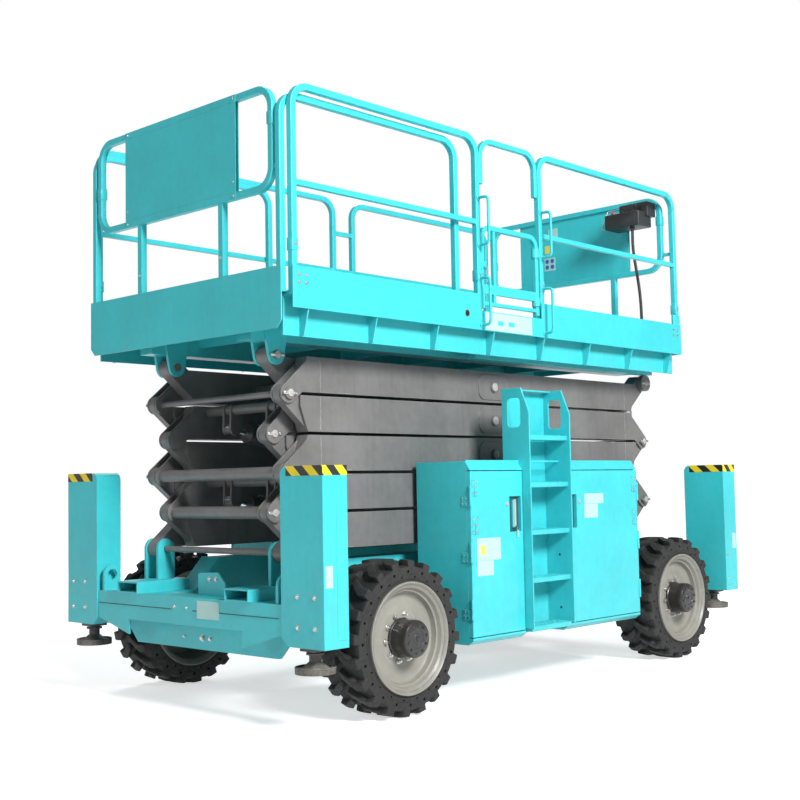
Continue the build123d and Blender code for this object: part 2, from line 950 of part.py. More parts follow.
def tie_down(end, side):
    """A round topped ear with a hole, standing on an end beam."""
    centre_z = end_beam_top + tie_down_rise
    x = end * tie_down_x
    ring = Location((x, centre_z)) * Circle(tie_down_radius)
    foot = Edge.make_line((x - tie_down_radius, end_beam_top), (x + tie_down_radius, end_beam_top))
    low = min(side * tie_down_y, side * (tie_down_y + tie_down_plate))
    ear = xz_plate(make_hull(ring.edges() + [foot]), low, low + tie_down_plate)
    return ear - bar_y(x, centre_z, low - 1, low + tie_down_plate + 1, tie_down_hole)


def chassis_frame():
    """Main beams, end beams, base pivots, fork pockets and axle mounts, as one welded frame."""
    pieces = [main_beam(-1), main_beam(1)]
    for end in (-1, 1):
        face = end * beam_half_length
        pieces.append(block(
            face, face - end * end_beam_depth, -housing_inner_y, housing_inner_y, end_beam_bottom, end_beam_top,
        ))
        pieces.append(axle_carrier(end))
        for side in (-1, 1):
            pieces.append(wing_plate_shape(end, side))
            pieces.append(tie_down(end, side))
    for x in (-cross_member_x, 0, cross_member_x):
        pieces.append(block(
            x - cross_member_half, x + cross_member_half, -main_beam_inner_y, main_beam_inner_y,
            cross_member_bottom, cross_member_top,
        ))
    for side in (-1, 1):
        pieces.extend(base_clevis(side))
        pieces.append(fork_pocket(side))
        for x in (-bracket_x, bracket_x):
            pieces.append(block(
                x - bracket_half, x + bracket_half, side * main_beam_outer_y, side * (cabinet_inner_y - seat_gap),
                main_beam_bottom, main_beam_bottom + bracket_height,
            ))
        for x in (front_axle_x, rear_axle_x):
            pieces.append(block(
                x - axle_mount_half, x + axle_mount_half, side * main_beam_inner_y, side * main_beam_outer_y,
                axle_z + axle_half_depth + seat_gap, main_beam_bottom,
            ))
    return join(pieces)


save([chassis_frame()], "chassis_frame")


# Outriggers

corner_places = {
    "front_left": (1, 1),
    "front_right": (1, -1),
    "rear_left": (-1, 1),
    "rear_right": (-1, -1),
}


def outrigger_housing(end, side):
    """A tall closed box with a square bore for its leg, rounded at the top and cut away below inside."""
    inner = side * housing_inner_y
    outer = side * housing_outer_y
    outline = Polyline(
        (inner, housing_bottom + housing_cut), (inner + side * housing_cut, housing_bottom), (outer, housing_bottom),
        (outer, housing_top), (inner, housing_top), close=True,
    )
    face = fillet(make_face(outline).vertices().sort_by_distance((inner, housing_top))[0], housing_round)
    near_x = min(end * housing_inner_x, end * housing_outer_x)
    section = Plane(origin=(near_x, 0, 0), x_dir=(0, 1, 0), z_dir=(1, 0, 0)) * face
    shell = extrude(section, amount=housing_length)
    half = leg_size / 2 + leg_clearance
    bore = block(
        end * leg_x - half, end * leg_x + half, side * leg_y - half, side * leg_y + half,
        housing_bottom - 1, housing_top - bore_end_gap,
    )
    return shell - bore


def outrigger_leg(end, side):
    """A square leg with a round foot pad on a ball neck."""
    half = leg_size / 2
    x = end * leg_x
    y = side * leg_y
    neck_top = housing_bottom - leg_step
    leg = block(x - half, x + half, y - half, y + half, neck_top, housing_top - leg_top_gap)
    pad_top = pad_bottom + pad_thickness
    neck = bar_z(x, y, pad_top, neck_top + 1, pad_neck_radius)
    cone = Location((x, y, pad_top + pad_cone_height / 2)) * Cone(pad_cone_radius, pad_neck_radius, pad_cone_height)
    return leg + neck + cone + bar_z(x, y, pad_bottom, pad_top, pad_radius)


save([outrigger_housing(end, side) for end, side in corner_places.values()], "outrigger_housings")
for corner_name, (end, side) in corner_places.items():
    save([outrigger_leg(end, side)], "outrigger_leg_" + corner_name)


# Side cabinets with their doors

def cabinet_outline(grow):
    """Cabinet section in Y and Z, set in from its outer faces by a distance."""
    return [
        (cabinet_inner_y + grow, cabinet_bottom + grow),
        (cabinet_outer_y - cabinet_chamfer * 0.7 - grow, cabinet_bottom + grow),
        (cabinet_outer_y - grow, cabinet_bottom + cabinet_chamfer * 0.5 + grow),
        (cabinet_outer_y - grow, cabinet_top - cabinet_chamfer - grow * 0.5),
        (cabinet_outer_y - cabinet_chamfer * 0.7 - grow, cabinet_top - grow),
        (cabinet_inner_y + grow, cabinet_top - grow),
    ]


def cabinet_body(with_ladder_bay):
    """A hollow cabinet whose two door openings take up its outer face."""
    shell_outer_y = cabinet_outer_y - door_thickness - door_seat_gap
    shell = plate_yz(cabinet_outline(0), cabinet_rear_x, cabinet_front_x)
    bays = [
        (ladder_bay_front_x + cabinet_wall, cabinet_front_x - cabinet_wall),
        (cabinet_rear_x + cabinet_wall, ladder_bay_rear_x - cabinet_wall),
    ]
    for x1, x2 in bays:
        shell -= plate_yz(cabinet_outline(cabinet_wall), x1, x2)
        shell -= block(
            x1, x2, shell_outer_y - frame_depth, cabinet_outer_y + 1,
            cabinet_bottom + cabinet_chamfer, cabinet_top - cabinet_chamfer - frame_lip,
        )
    doors = [
        (ladder_bay_front_x, cabinet_front_x + 1),
        (cabinet_rear_x - 1, ladder_bay_rear_x),
    ]
    for x1, x2 in doors:
        shell -= block(
            x1, x2, shell_outer_y, cabinet_outer_y + 1,
            cabinet_bottom + door_sill, cabinet_top - cabinet_chamfer - door_head_gap,
        )
    if with_ladder_bay:
        shell -= block(
            ladder_bay_rear_x, ladder_bay_front_x, cabinet_outer_y - ladder_bay_depth, cabinet_outer_y + 1,
            cabinet_bottom - 1, cabinet_top + 1,
        )
    return shell


def hinge_heights():
    """Lower ends of the hinges up a door's edge."""
    low = cabinet_bottom + cabinet_chamfer + hinge_inset
    high = cabinet_top - cabinet_chamfer - hinge_inset - 2 * hinge_knuckle
    return (low, (low + high) / 2, high)


def fixed_hinges(hinge_x):
    """The cabinet's own leaves and lower knuckles, on its front or rear face."""
    outward = math.copysign(1, hinge_x)
    pieces = []
    for z in hinge_heights():
        top = z + hinge_knuckle
        pieces.append(block(
            hinge_x, hinge_x + outward * hinge_leaf, cabinet_outer_y - hinge_leaf_width, cabinet_outer_y, z, top,
        ))
        pieces.append(bar_z(hinge_x, cabinet_outer_y, z, top, hinge_radius))
    return pieces


def cabinet_door(x1, x2, hinge_x):
    """A door as tall as the cabinet's side, with hinge knuckles at one edge and a latch in a recess."""
    bottom = cabinet_bottom + door_sill + door_gap
    top = cabinet_top - cabinet_chamfer - door_head_gap - door_gap
    panel = block(x1, x2, cabinet_outer_y - door_thickness, cabinet_outer_y, bottom, top)
    for z in hinge_heights():
        low = z + hinge_knuckle + hinge_gap
        panel -= bar_z(hinge_x, cabinet_outer_y, z - hinge_gap, low, hinge_radius + hinge_gap)
        panel += bar_z(hinge_x, cabinet_outer_y, low, low + hinge_knuckle, hinge_radius)
    latch_x = x1 + latch_inset if hinge_x > x1 else x2 - latch_inset
    inward = math.copysign(latch_width, hinge_x - latch_x)
    floor_y = cabinet_outer_y - latch_depth
    panel -= block(
        latch_x, latch_x + inward, floor_y, cabinet_outer_y + 1, latch_bottom, latch_bottom + latch_length,
    )
    handle_x = latch_x + inward / 2
    handle_bottom = latch_bottom + (latch_length - latch_handle_length) / 2
    panel += block(
        handle_x - latch_handle_width / 2, handle_x + latch_handle_width / 2,
        floor_y, floor_y + latch_handle_depth, handle_bottom, handle_bottom + latch_handle_length,
    )
    return panel


def louvres(middle_x):
    """The slots that let air through the engine's door."""
    return [
        block(
            middle_x - louvre_length / 2, middle_x + louvre_length / 2,
            cabinet_outer_y - door_thickness - 1, cabinet_outer_y + 1,
            louvre_bottom + number * louvre_pitch, louvre_bottom + number * louvre_pitch + louvre_height,
        )
        for number in range(louvre_count)
    ]


engine_x = (cabinet_rear_x + ladder_bay_rear_x) / 2
engine_y = (cabinet_inner_y + cabinet_outer_y - door_thickness) / 2
hinges = fixed_hinges(cabinet_front_x) + fixed_hinges(cabinet_rear_x)
save([join([cabinet_body(True)] + hinges)], "cabinet_left")
save([mirrored(join([cabinet_body(False)] + hinges))], "cabinet_right")
front_door = cabinet_door(ladder_bay_front_x + door_gap, cabinet_front_x - hinge_gap, cabinet_front_x)
rear_door = cabinet_door(cabinet_rear_x + hinge_gap, ladder_bay_rear_x - door_gap, cabinet_rear_x)
save([front_door], "door_front_left")
save([rear_door], "door_rear_left")
save([mirrored(front_door)], "door_front_right")
save([mirrored(rear_door - louvres(engine_x))], "door_rear_right")
engine_floor = cabinet_bottom + cabinet_wall
save(
    [block(
        engine_x - engine_length / 2, engine_x + engine_length / 2,
        -engine_y - engine_width / 2, -engine_y + engine_width / 2,
        engine_floor, engine_floor + engine_height,
    )],
    "engine_block",
)


# Ladder

def ladder():
    """Two side plates with grip holes, a top bar and rungs."""
    pieces = []
    plate_points = [
        (ladder_inner_y, ladder_bottom), (ladder_outer_y - ladder_corner, ladder_bottom),
        (ladder_outer_y, ladder_bottom + ladder_corner), (ladder_outer_y, ladder_top - ladder_nose),
        (ladder_outer_y - ladder_corner, ladder_top), (ladder_inner_y, ladder_top),
    ]
    front_x = ladder_bay_front_x - ladder_seat_gap
    rear_x = ladder_bay_rear_x + ladder_seat_gap
    for x1, x2 in ((front_x - ladder_plate, front_x), (rear_x, rear_x + ladder_plate)):
        plate = plate_yz(plate_points, x1, x2)
        slot_z = ladder_top - ladder_corner - grip_slot_length / 2
        slot_y = (ladder_inner_y + ladder_outer_y) / 2
        slot = Location(((x1 + x2) / 2, slot_y, slot_z), (0, 90, 0)) * extrude(
            SlotOverall(grip_slot_length, grip_slot_width), amount=ladder_plate, both=True,
        )
        pieces.append(plate - slot)
    count = int((ladder_top - ladder_bottom) // rung_pitch)
    nose_y = ladder_outer_y - rung_setback
    for number in range(count):
        z = ladder_bottom + number * rung_pitch
        pieces.append(block(
            rear_x + ladder_plate, front_x - ladder_plate, nose_y - rung_depth, nose_y, z, z + rung_height,
        ))
    pieces.append(block(
        rear_x + ladder_plate, front_x - ladder_plate,
        ladder_inner_y, ladder_inner_y + top_bar_depth, ladder_top - top_bar_height, ladder_top,
    ))
    return join(pieces)


save([ladder()], "ladder")


# Platform

def side_frame(side):
    """One side frame under the deck's edge, with its tapered gussets and its spine beam."""
    edge_y = side * (deck_half_width - toe_plate)
    web_y = side * side_frame_y
    pieces = [
        block(deck_rear_x, deck_front_x, web_y - side * side_frame_plate, web_y, side_frame_bottom, deck_bottom),
        block(
            deck_rear_x + spine_inset, deck_front_x - spine_inset,
            side * spine_inner_y, side * spine_outer_y, spine_bottom, deck_bottom,
        ),
    ]
    step = (deck_front_x - deck_rear_x - 2 * gusset_inset) / (gusset_count - 1)
    for number in range(gusset_count):
        x = deck_rear_x + gusset_inset + number * step
        pieces.append(plate_yz(
            [
                (web_y, deck_bottom), (edge_y, deck_bottom), (edge_y, toe_bottom),
                (web_y + side * gusset_foot, side_frame_bottom), (web_y, side_frame_bottom),
            ],
            x, x + gusset_plate,
        ))
    return pieces


def platform_pivots(side):
    """One side's clevis for the upper arms' front pin, and the track for their rear roller."""
    track_y = side * (outer_beam_y + half_thickness + clevis_gap + roller_width / 2)
    pieces = [block(
        deck_rear_x + platform_track_inset, platform_track_front_x,
        track_y - platform_track_half_width, track_y + platform_track_half_width,
        top_pin_z + roller_radius + track_clearance, deck_bottom,
    )]
    inner_face = inner_beam_y - half_thickness - clevis_gap
    outer_face = inner_beam_y + half_thickness + clevis_gap
    for near_y in (inner_face - clevis_plate, outer_face):
        ring = Location((front_pin_x, top_pin_z)) * Circle(lug_radius)
        foot = Edge.make_line(
            (front_pin_x - platform_clevis_half_length, deck_bottom),
            (front_pin_x + platform_clevis_half_length, deck_bottom),
        )
        low = min(side * near_y, side * (near_y + clevis_plate))
        plate = xz_plate(make_hull(ring.edges() + [foot]), low, low + clevis_plate)
        hole = bar_y(
            front_pin_x, top_pin_z, low - 1, low + clevis_plate + 1, joint_pin_radius + joint_pin_clearance,
        )
        pieces.append(plate - hole)
    return pieces


def platform_deck():
    """Deck plate, side frames with gussets, spine beams and the pivots that carry the platform."""
    edge_y = deck_half_width - toe_plate
    pieces = [block(deck_rear_x, deck_front_x, -edge_y, edge_y, deck_bottom, deck_top)]
    for side in (-1, 1):
        pieces.extend(side_frame(side))
        pieces.extend(platform_pivots(side))
    inner_count = int((deck_front_x - deck_rear_x) // cross_beam_pitch)
    first = (deck_front_x + deck_rear_x - (inner_count - 1) * cross_beam_pitch) / 2
    places = [first + number * cross_beam_pitch for number in range(inner_count)]
    for x in places + [deck_rear_x, deck_front_x - cross_beam_plate]:
        pieces.append(block(
            x, x + cross_beam_plate, -side_frame_y, side_frame_y, cross_beam_bottom, deck_bottom,
        ))
    return join(pieces)


def toe_boards():
    """Upright plates round the deck's sides and rear, open at the gate."""
    y1 = deck_half_width - toe_plate
    y2 = deck_half_width
    pieces = [
        block(gate_front_x, deck_front_x, y1, y2, toe_bottom, toe_top),
        block(deck_rear_x, gate_rear_x, y1, y2, toe_bottom, toe_top),
        block(gate_rear_x, gate_front_x, y1, y2, toe_bottom, toe_bottom + sill_height),
        block(deck_rear_x, deck_front_x, -y2, -y1, toe_bottom, toe_top),
        block(deck_rear_x - toe_plate, deck_rear_x, -y2, y2, toe_bottom, toe_top),
    ]
    return join(pieces)


def side_rail(front_x, rear_x, y, top, foot_z):
    """An upright loop of square tube along X with two legs."""
    return bent_tube(
        [(front_x, y, foot_z), (front_x, y, top), (rear_x, y, top), (rear_x, y, foot_z)],
        rail_corner, rail_half, (0, 1, 0),
    )


def rail_bar(front_x, rear_x, y, z):
    """A straight square bar along X between two posts."""
    half = mid_rail_half
    return block(rear_x, front_x, y - half, y + half, z - half, z + half)


def guard_rail(side, front_end_x, rear_start_x):
    """The two rail loops of one side of the main deck, each with a mid rail."""
    pieces = []
    for x1, x2 in ((rail_end_x, front_end_x), (rear_start_x, rear_rail_end_x)):
        pieces.append(side_rail(x1, x2, side * rail_y, rail_top, deck_top))
        pieces.append(rail_bar(x1, x2, side * rail_y, rail_mid))
    return pieces


def grab_handle(x, low, high, upper_root_y, lower_root_y):
    """A round grab handle that stands out from a post beside the gate."""
    reach_y = upper_root_y + handle_reach
    return bent_rod(
        [(x, lower_root_y, low), (x, reach_y, low), (x, reach_y, high), (x, upper_root_y, high)],
        handle_corner, handle_radius,
    )


def left_guard_rail():
    """The left side's rails, the bow over the gate and the grab handles beside it."""
    pieces = guard_rail(1, gate_post_front_x, gate_post_rear_x) + gate_arch()
    toe_face = deck_half_width + seat_gap
    for x in (gate_post_front_x, gate_post_rear_x):
        pieces.append(grab_handle(x, upper_handle_bottom, upper_handle_top, rail_y, rail_y))
        pieces.append(grab_handle(x, lower_handle_bottom, lower_handle_top, rail_y, toe_face))
    return join(pieces)


def right_guard_rail():
    """The right side's rails, linked by short bars."""
    pieces = guard_rail(-1, right_gap_front_x, right_gap_rear_x)
    for z in (rail_mid, rail_top - right_link_drop):
        pieces.append(rail_bar(right_gap_front_x, right_gap_rear_x, -rail_y, z))
    return join(pieces)


def gate_arch():
    """The raised bow over the gate, clamped to the posts beside it."""
    reach = rail_half + arch_gap + arch_half
    front_x = gate_post_front_x - reach
    rear_x = gate_post_rear_x + reach
    low = rail_top - arch_drop
    pieces = [bent_tube(
        [(front_x, rail_y, low), (front_x, rail_y, rail_top), (rear_x, rail_y, rail_top), (rear_x, rail_y, low)],
        rail_corner, arch_half, (0, 1, 0),
    )]
    for z in (low + 2 * clamp_half, rail_top - rail_corner - 2 * clamp_half):
        for x1, x2 in ((front_x, gate_post_front_x), (gate_post_rear_x, rear_x)):
            pieces.append(block(
                x1, x2, rail_y - clamp_half / 2, rail_y + clamp_half / 2, z - clamp_half, z + clamp_half,
            ))
    return pieces


def end_frame(x, post_foot_z, side_y):
    """A rounded frame across the platform's end, with its sheet panel, two posts and two side stubs."""
    half = end_frame_half_width
    path = FilletPolyline(
        (x, half, rail_top), (x, half, end_frame_bottom), (x, -half, end_frame_bottom), (x, -half, rail_top),
        radius=rail_corner, close=True,
    )
    start = Plane(origin=path @ 0, x_dir=(1, 0, 0), z_dir=path % 0)
    pieces = [sweep(start * square_section(rail_half, rail_edge), path)]
    pieces.append(block(
        x - end_panel_plate / 2, x + end_panel_plate / 2,
        -end_panel_half_width, end_panel_half_width, end_frame_bottom, rail_top,
    ))
    stub_z = rail_mid + stub_rise
    for side in (-1, 1):
        post_y = side * end_post_y
        pieces.append(block(
            x - rail_half, x + rail_half, post_y - rail_half, post_y + rail_half, post_foot_z, end_frame_bottom,
        ))
        pieces.append(block(
            x - stub_half, x + stub_half, side * half, side * side_y, stub_z - stub_half, stub_z + stub_half,
        ))
    return pieces


def rear_rail():
    """The rear end frame with its posts down to the deck."""
    return join(end_frame(rear_rail_end_x, deck_top, rail_y - rail_half - rail_seat_gap))


def extension_deck():
    """The roll out deck with its floor plate and its deep end plate."""
    floor_z = deck_top + extension_gap
    pieces = [block(
        extension_rear_x, extension_front_x - extension_end_plate,
        -extension_half_width, extension_half_width, floor_z, floor_z + extension_plate,
    )]
    half = extension_end_half_width
    corner = extension_end_corner
    pieces.append(plate_yz(
        [
            (-half, toe_top), (half, toe_top), (half, extension_end_bottom + corner),
            (half - corner, extension_end_bottom), (-half + corner, extension_end_bottom),
            (-half, extension_end_bottom + corner),
        ],
        extension_front_x - extension_end_plate, extension_front_x,
    ))
    for side in (-1, 1):
        y = side * extension_strip_y
        pieces.append(block(
            extension_rear_x, deck_front_x - extension_strip_end,
            y - extension_strip_width / 2, y + extension_strip_width / 2,
            deck_top + extension_seat_gap, floor_z,
        ))
    return join(pieces)


def extension_rails():
    """Rails that ride on the extension deck, nested inside the main rails."""
    x = extension_front_x - extension_end_plate - rail_half - rail_seat_gap
    floor_z = deck_top + extension_gap + extension_plate
    pieces = end_frame(x, floor_z, extension_rail_y)
    rear_x = extension_rear_x + extension_rail_inset
    for side in (-1, 1):
        pieces.append(side_rail(x, rear_x, side * extension_rail_y, rail_top - extension_rail_drop, floor_z))
    return join(pieces)


def gate():
    """The half height gate with its own hinge post."""
    hinge_x = gate_rear_x + gate_hinge_inset
    latch_x = gate_front_x - gate_latch_inset
    y = rail_y
    pieces = [bent_tube(
        [(hinge_x, y, gate_bottom), (hinge_x, y, gate_top), (latch_x, y, gate_top), (latch_x, y, gate_bottom)],
        gate_corner, gate_half, (0, 1, 0),
    )]
    depth = gate_bar_half_depth
    low = gate_bottom + gate_sill_rise
    pieces.append(block(hinge_x, latch_x, y - depth, y + depth, low, low + 2 * depth))
    pieces.append(block(
        hinge_x, latch_x, y - depth, y + depth, gate_bar_bottom, gate_bar_bottom + gate_bar_height,
    ))
    inner_x = latch_x - gate_inner_post_inset
    pieces.append(block(inner_x - depth, inner_x + depth, y - depth, y + depth, low, gate_top))
    hinge_reach = hinge_x - gate_post_rear_x - rail_half - rail_seat_gap
    for z in (gate_bottom + gate_hinge_height, gate_top - gate_corner - gate_hinge_height):
        pieces.append(bar_z(hinge_x, y, z, z + gate_hinge_height, hinge_reach))
    return join(pieces)


save([platform_deck()], "platform_deck")
save([toe_boards()], "toe_boards")
save([left_guard_rail()], "guard_rail_left")
save([right_guard_rail()], "guard_rail_right")
save([rear_rail()], "rear_rail")
save([extension_deck()], "extension_deck")
save([extension_rails()], "extension_rails")
save([gate()], "gate")


# Control box on the rear rail, and its cable down to the deck

box_front_x = rear_rail_end_x + rail_half + rail_seat_gap
box_top = rail_top - box_drop
box_bottom = box_top - box_height
save(
    [block(
        box_front_x, box_front_x + box_length, box_y - box_width / 2, box_y + box_width / 2, box_bottom, box_top,
    )],
    "control_box",
)
cable_x = box_front_x + box_length - cable_inset
cable_share = (box_bottom - deck_top) / cable_drop
first_bend_x, first_bend_y = cable_bends[0][:2]
last_bend_x, last_bend_y = cable_bends[-1][:2]
cable_points = [(cable_x + first_bend_x, box_y + first_bend_y, box_bottom - seat_gap)]
for bend_x, bend_y, bend_drop in cable_bends:
    cable_points.append((cable_x + bend_x, box_y + bend_y, box_bottom - bend_drop * cable_share))
cable_points.append((cable_x + last_bend_x, box_y + last_bend_y, deck_top + seat_gap))


def cord_radii(points):
    """The largest even radius at each corner of a cord's route."""
    radii = []
    for before, here, after in zip(points, points[1:], points[2:]):
        run_in = Vector(*here) - Vector(*before)
        run_out = Vector(*after) - Vector(*here)
        turn = math.radians(run_in.get_angle(run_out))
        radii.append(0.45 * min(run_in.length, run_out.length) / math.tan(turn / 2))
    return radii


def control_cable():
    """The cable from the control box down to the deck."""
    radii = cord_radii(cable_points)
    print("cable radii", [round(radius) for radius in radii])
    path = FilletPolyline(*cable_points, radius=radii)
    start = Plane(origin=path @ 0, z_dir=path % 0)
    tube = sweep(start * Circle(cable_radius), path)
    print("cable length", round(path.length), "volume ratio", tube.volume / (path.length * math.pi * cable_radius ** 2))
    return tube


save([control_cable()], "control_cable")
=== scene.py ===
import math

import bmesh
import bpy
from mathutils import Matrix, Vector
from mathutils.bvhtree import BVHTree


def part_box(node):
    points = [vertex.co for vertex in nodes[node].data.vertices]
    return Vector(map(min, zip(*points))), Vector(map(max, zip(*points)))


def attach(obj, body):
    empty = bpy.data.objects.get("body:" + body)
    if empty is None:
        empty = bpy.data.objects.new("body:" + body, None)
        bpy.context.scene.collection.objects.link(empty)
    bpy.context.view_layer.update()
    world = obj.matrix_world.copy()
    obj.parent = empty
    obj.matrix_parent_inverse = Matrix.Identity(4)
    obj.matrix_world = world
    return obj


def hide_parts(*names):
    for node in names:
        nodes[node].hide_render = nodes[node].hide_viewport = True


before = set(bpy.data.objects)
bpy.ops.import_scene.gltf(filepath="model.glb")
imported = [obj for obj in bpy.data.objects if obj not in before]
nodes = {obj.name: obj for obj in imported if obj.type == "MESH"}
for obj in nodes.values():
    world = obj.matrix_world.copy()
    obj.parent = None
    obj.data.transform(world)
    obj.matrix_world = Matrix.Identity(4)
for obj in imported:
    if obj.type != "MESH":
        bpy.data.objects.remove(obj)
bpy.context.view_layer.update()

# Rough terrain scissor lift. +X is the front with the roll-out deck, +Y the ladder side, +Z up, in metres.

scene = bpy.context.scene

# Sizes that repeat the source's own
WHEEL_X = 1.3975
WHEEL_Y = 0.944
WHEEL_Z = 0.420
TYRE_RADIUS = 0.42
TYRE_HALF = 0.150
MID_PIN_X = 0.055
PIN_REACH = 1.765
BASE_PIN_Z = 0.884
PITCH = 0.2175
LEVELS = range(1, 6)
OUTER_FACE_Y = 0.620
BEAM_FACE_X = 2.078
CARRIER_FACE_X = 1.932
HOUSING_INNER_X, HOUSING_OUTER_X = 1.916, 2.086
HOUSING_INNER_Y, HOUSING_OUTER_Y = 0.844, 1.164
CABINET_Y = 1.080
CABINET_ENDS = ((1, 0.850), (-1, -0.890))
TOE_Y = 0.930
TUBE_HALF = 0.019
RAIL_Y = 0.9027
END_FRAME_Y = 0.800
GATE_POSTS = (0.528, -0.104)
POSTS = ((2.031, 1), (0.528, 1), (-0.104, 1), (-1.761, 1), (2.031, -1), (0.020, -1), (-0.180, -1), (-1.761, -1))
SIDES = (1, -1)
ENDS = (1, -1)
CORNERS = [
    (end_word, end, side_word, side)
    for end_word, end in (("front", 1), ("rear", -1)) for side_word, side in (("left", 1), ("right", -1))
]

# Camera, at the photo's angle
CAMERA_PLACE = (6.2775, 5.6620, 1.2390)
CAMERA_YAW, CAMERA_PITCH, CAMERA_ROLL = (math.radians(angle) for angle in (-136.68, 4.04, -1.05))
CAMERA_LENS = 55.45
CAMERA_SHIFT = (-0.00075, -0.0021)

# Light: how strong the world is for everything but the camera, and in reflections
WORLD_LEVEL = 0.14
GLOSS_LEVEL = 0.45
FLOOR_GLOW = 0.6
LAMPS = (
    ("key", (3.2, 11.5, 8.0), 3.2, 2500),
    ("fill", (11.0, -2.5, 4.0), 4.5, 150),
    ("back", (-8.0, -8.0, 8.0), 5.0, 900),
)
LAMP_AIM_DROP = 1.5


def place_camera():
    yaw, pitch, roll = CAMERA_YAW, CAMERA_PITCH, CAMERA_ROLL
    ahead = Vector((math.cos(pitch) * math.cos(yaw), math.cos(pitch) * math.sin(yaw), math.sin(pitch)))
    level = ahead.cross(Vector((0, 0, 1))).normalized()
    above = level.cross(ahead)
    right = math.cos(roll) * level + math.sin(roll) * above
    up = math.cos(roll) * above - math.sin(roll) * level
    turn = Matrix((right, up, -ahead)).transposed()
    data = bpy.data.cameras.new("camera")
    data.lens = CAMERA_LENS
    data.sensor_width = 36
    data.shift_x, data.shift_y = CAMERA_SHIFT
    data.clip_end = 200
    camera = bpy.data.objects.new("camera", data)
    camera.matrix_world = Matrix.Translation(CAMERA_PLACE) @ turn.to_4x4()
    scene.collection.objects.link(camera)
    scene.camera = camera


# Shader nodes

class Net:
    """A node tree with short ways to add nodes. A value may be a socket to link, a number or a colour."""

    def __init__(self, tree):
        self.tree = tree
        self.shader = tree.nodes.get("Principled BSDF")

    def add(self, kind, **settings):
        node = self.tree.nodes.new("ShaderNode" + kind)
        for name, value in settings.items():
            setattr(node, name, value)
        return node

    def feed(self, socket, value):
        if isinstance(value, bpy.types.NodeSocket):
            self.tree.links.new(value, socket)
        else:
            socket.default_value = value

    def math(self, operation, first, second=0.0, clamp=False):
        node = self.add("Math", operation=operation, use_clamp=clamp)
        self.feed(node.inputs[0], first)
        self.feed(node.inputs[1], second)
        return node.outputs[0]

    def product(self, first, second, clamp=False):
        return self.math("MULTIPLY", first, second, clamp)

    def total(self, first, second, clamp=False):
        return self.math("ADD", first, second, clamp)

    def absolute(self, value):
        return self.math("ABSOLUTE", value)

    def ramp(self, value, low, high, start=0.0, end=1.0):
        """A value stretched from one span to another and held at its ends."""
        node = self.add("MapRange", clamp=True)
        self.feed(node.inputs["Value"], value)
        for label, number in (("From Min", low), ("From Max", high), ("To Min", start), ("To Max", end)):
            node.inputs[label].default_value = number
        return node.outputs[0]

    def mix(self, share, first, second, blend="MIX"):
        """Two colours mixed by a share."""
        node = self.add("Mix", data_type="RGBA", blend_type=blend)
        for index, value in ((0, share), (6, first), (7, second)):
            self.feed(node.inputs[index], value)
        return node.outputs[2]

    def noise(self, vector, scale, detail=3.0, roughness=0.55):
        node = self.add("TexNoise")
        for label, value in (("Vector", vector), ("Scale", scale), ("Detail", detail), ("Roughness", roughness)):
            self.feed(node.inputs[label], value)
        return node.outputs["Fac"]

    def mapped(self, vector, scale, turn=0.0):
        """A position turned about Z and scaled along each axis."""
        node = self.add("Mapping")
        node.inputs["Rotation"].default_value = (0, 0, turn)
        node.inputs["Scale"].default_value = scale
        self.feed(node.inputs["Vector"], vector)
        return node.outputs["Vector"]

    def split(self, vector):
        """The three parts of a vector, by name."""
        node = self.add("SeparateXYZ")
        self.feed(node.inputs[0], vector)
        return node.outputs

    def facing(self):
        """The surface's normal, in three parts."""
        return self.split(self.add("NewGeometry").outputs["Normal"])

    def group(self, name, **inputs):
        """One of the shared groups, with its inputs fed by name."""
        node = self.add("Group", node_tree=GROUPS[name])
        for label, value in inputs.items():
            self.feed(node.inputs[label], value)
        return node.outputs

    def shade(self, label, value):
        self.feed(self.shader.inputs[label], value)

    def relief(self, height, strength, distance, normal=None):
        """A bump from a height to the shader's normal."""
        node = self.add("Bump")
        for label, value in (("Strength", strength), ("Distance", distance), ("Height", height), ("Normal", normal)):
            if value is not None:
                self.feed(node.inputs[label], value)
        self.shade("Normal", node.outputs["Normal"])


# Shader groups that several finishes share

def start_group(name, inputs, outputs):
    """An empty shader group with named sockets, each of a kind and with its value, if it has one."""
    tree = bpy.data.node_groups.new(name, "ShaderNodeTree")
    for label, kind, value in inputs:
        socket = tree.interface.new_socket(name=label, in_out="INPUT", socket_type="NodeSocket" + kind)
        if value is not None:
            socket.default_value = value
    for label, kind in outputs:
        tree.interface.new_socket(name=label, in_out="OUTPUT", socket_type="NodeSocket" + kind)
    given, out = tree.nodes.new("NodeGroupInput"), tree.nodes.new("NodeGroupOutput")
    return Net(tree), given.outputs, out.inputs


def make_cloudiness():
    """Broad, faint patches and drips in a coat of paint."""
    net, given, out = start_group(
        "cloudiness",
        [("Colour", "Color", None), ("Place", "Vector", None), ("Patches", "Float", 0.12), ("Drips", "Float", 0.06)],
        [("Colour", "Color"), ("Value", "Float")],
    )
    place = given["Place"]
    broad = net.ramp(net.noise(place, 2.6, 4.0), 0.3, 0.7, -1.0, 1.0)
    fine = net.ramp(net.noise(place, 21.0), 0.25, 0.75, -0.5, 0.5)
    drips = net.ramp(net.noise(net.mapped(place, (26.0, 26.0, 1.7)), 1.0, 3.0, 0.6), 0.5, 0.8, 0.0, -1.0)
    patch = net.product(net.total(broad, fine), given["Patches"])
    value = net.total(net.total(patch, net.product(drips, given["Drips"])), 1.0)
    grey = net.add("CombineColor")
    for socket in grey.inputs:
        net.feed(socket, value)
    net.feed(out["Colour"], net.mix(1.0, given["Colour"], grey.outputs[0], "MULTIPLY"))
    net.feed(out["Value"], value)
    return net.tree


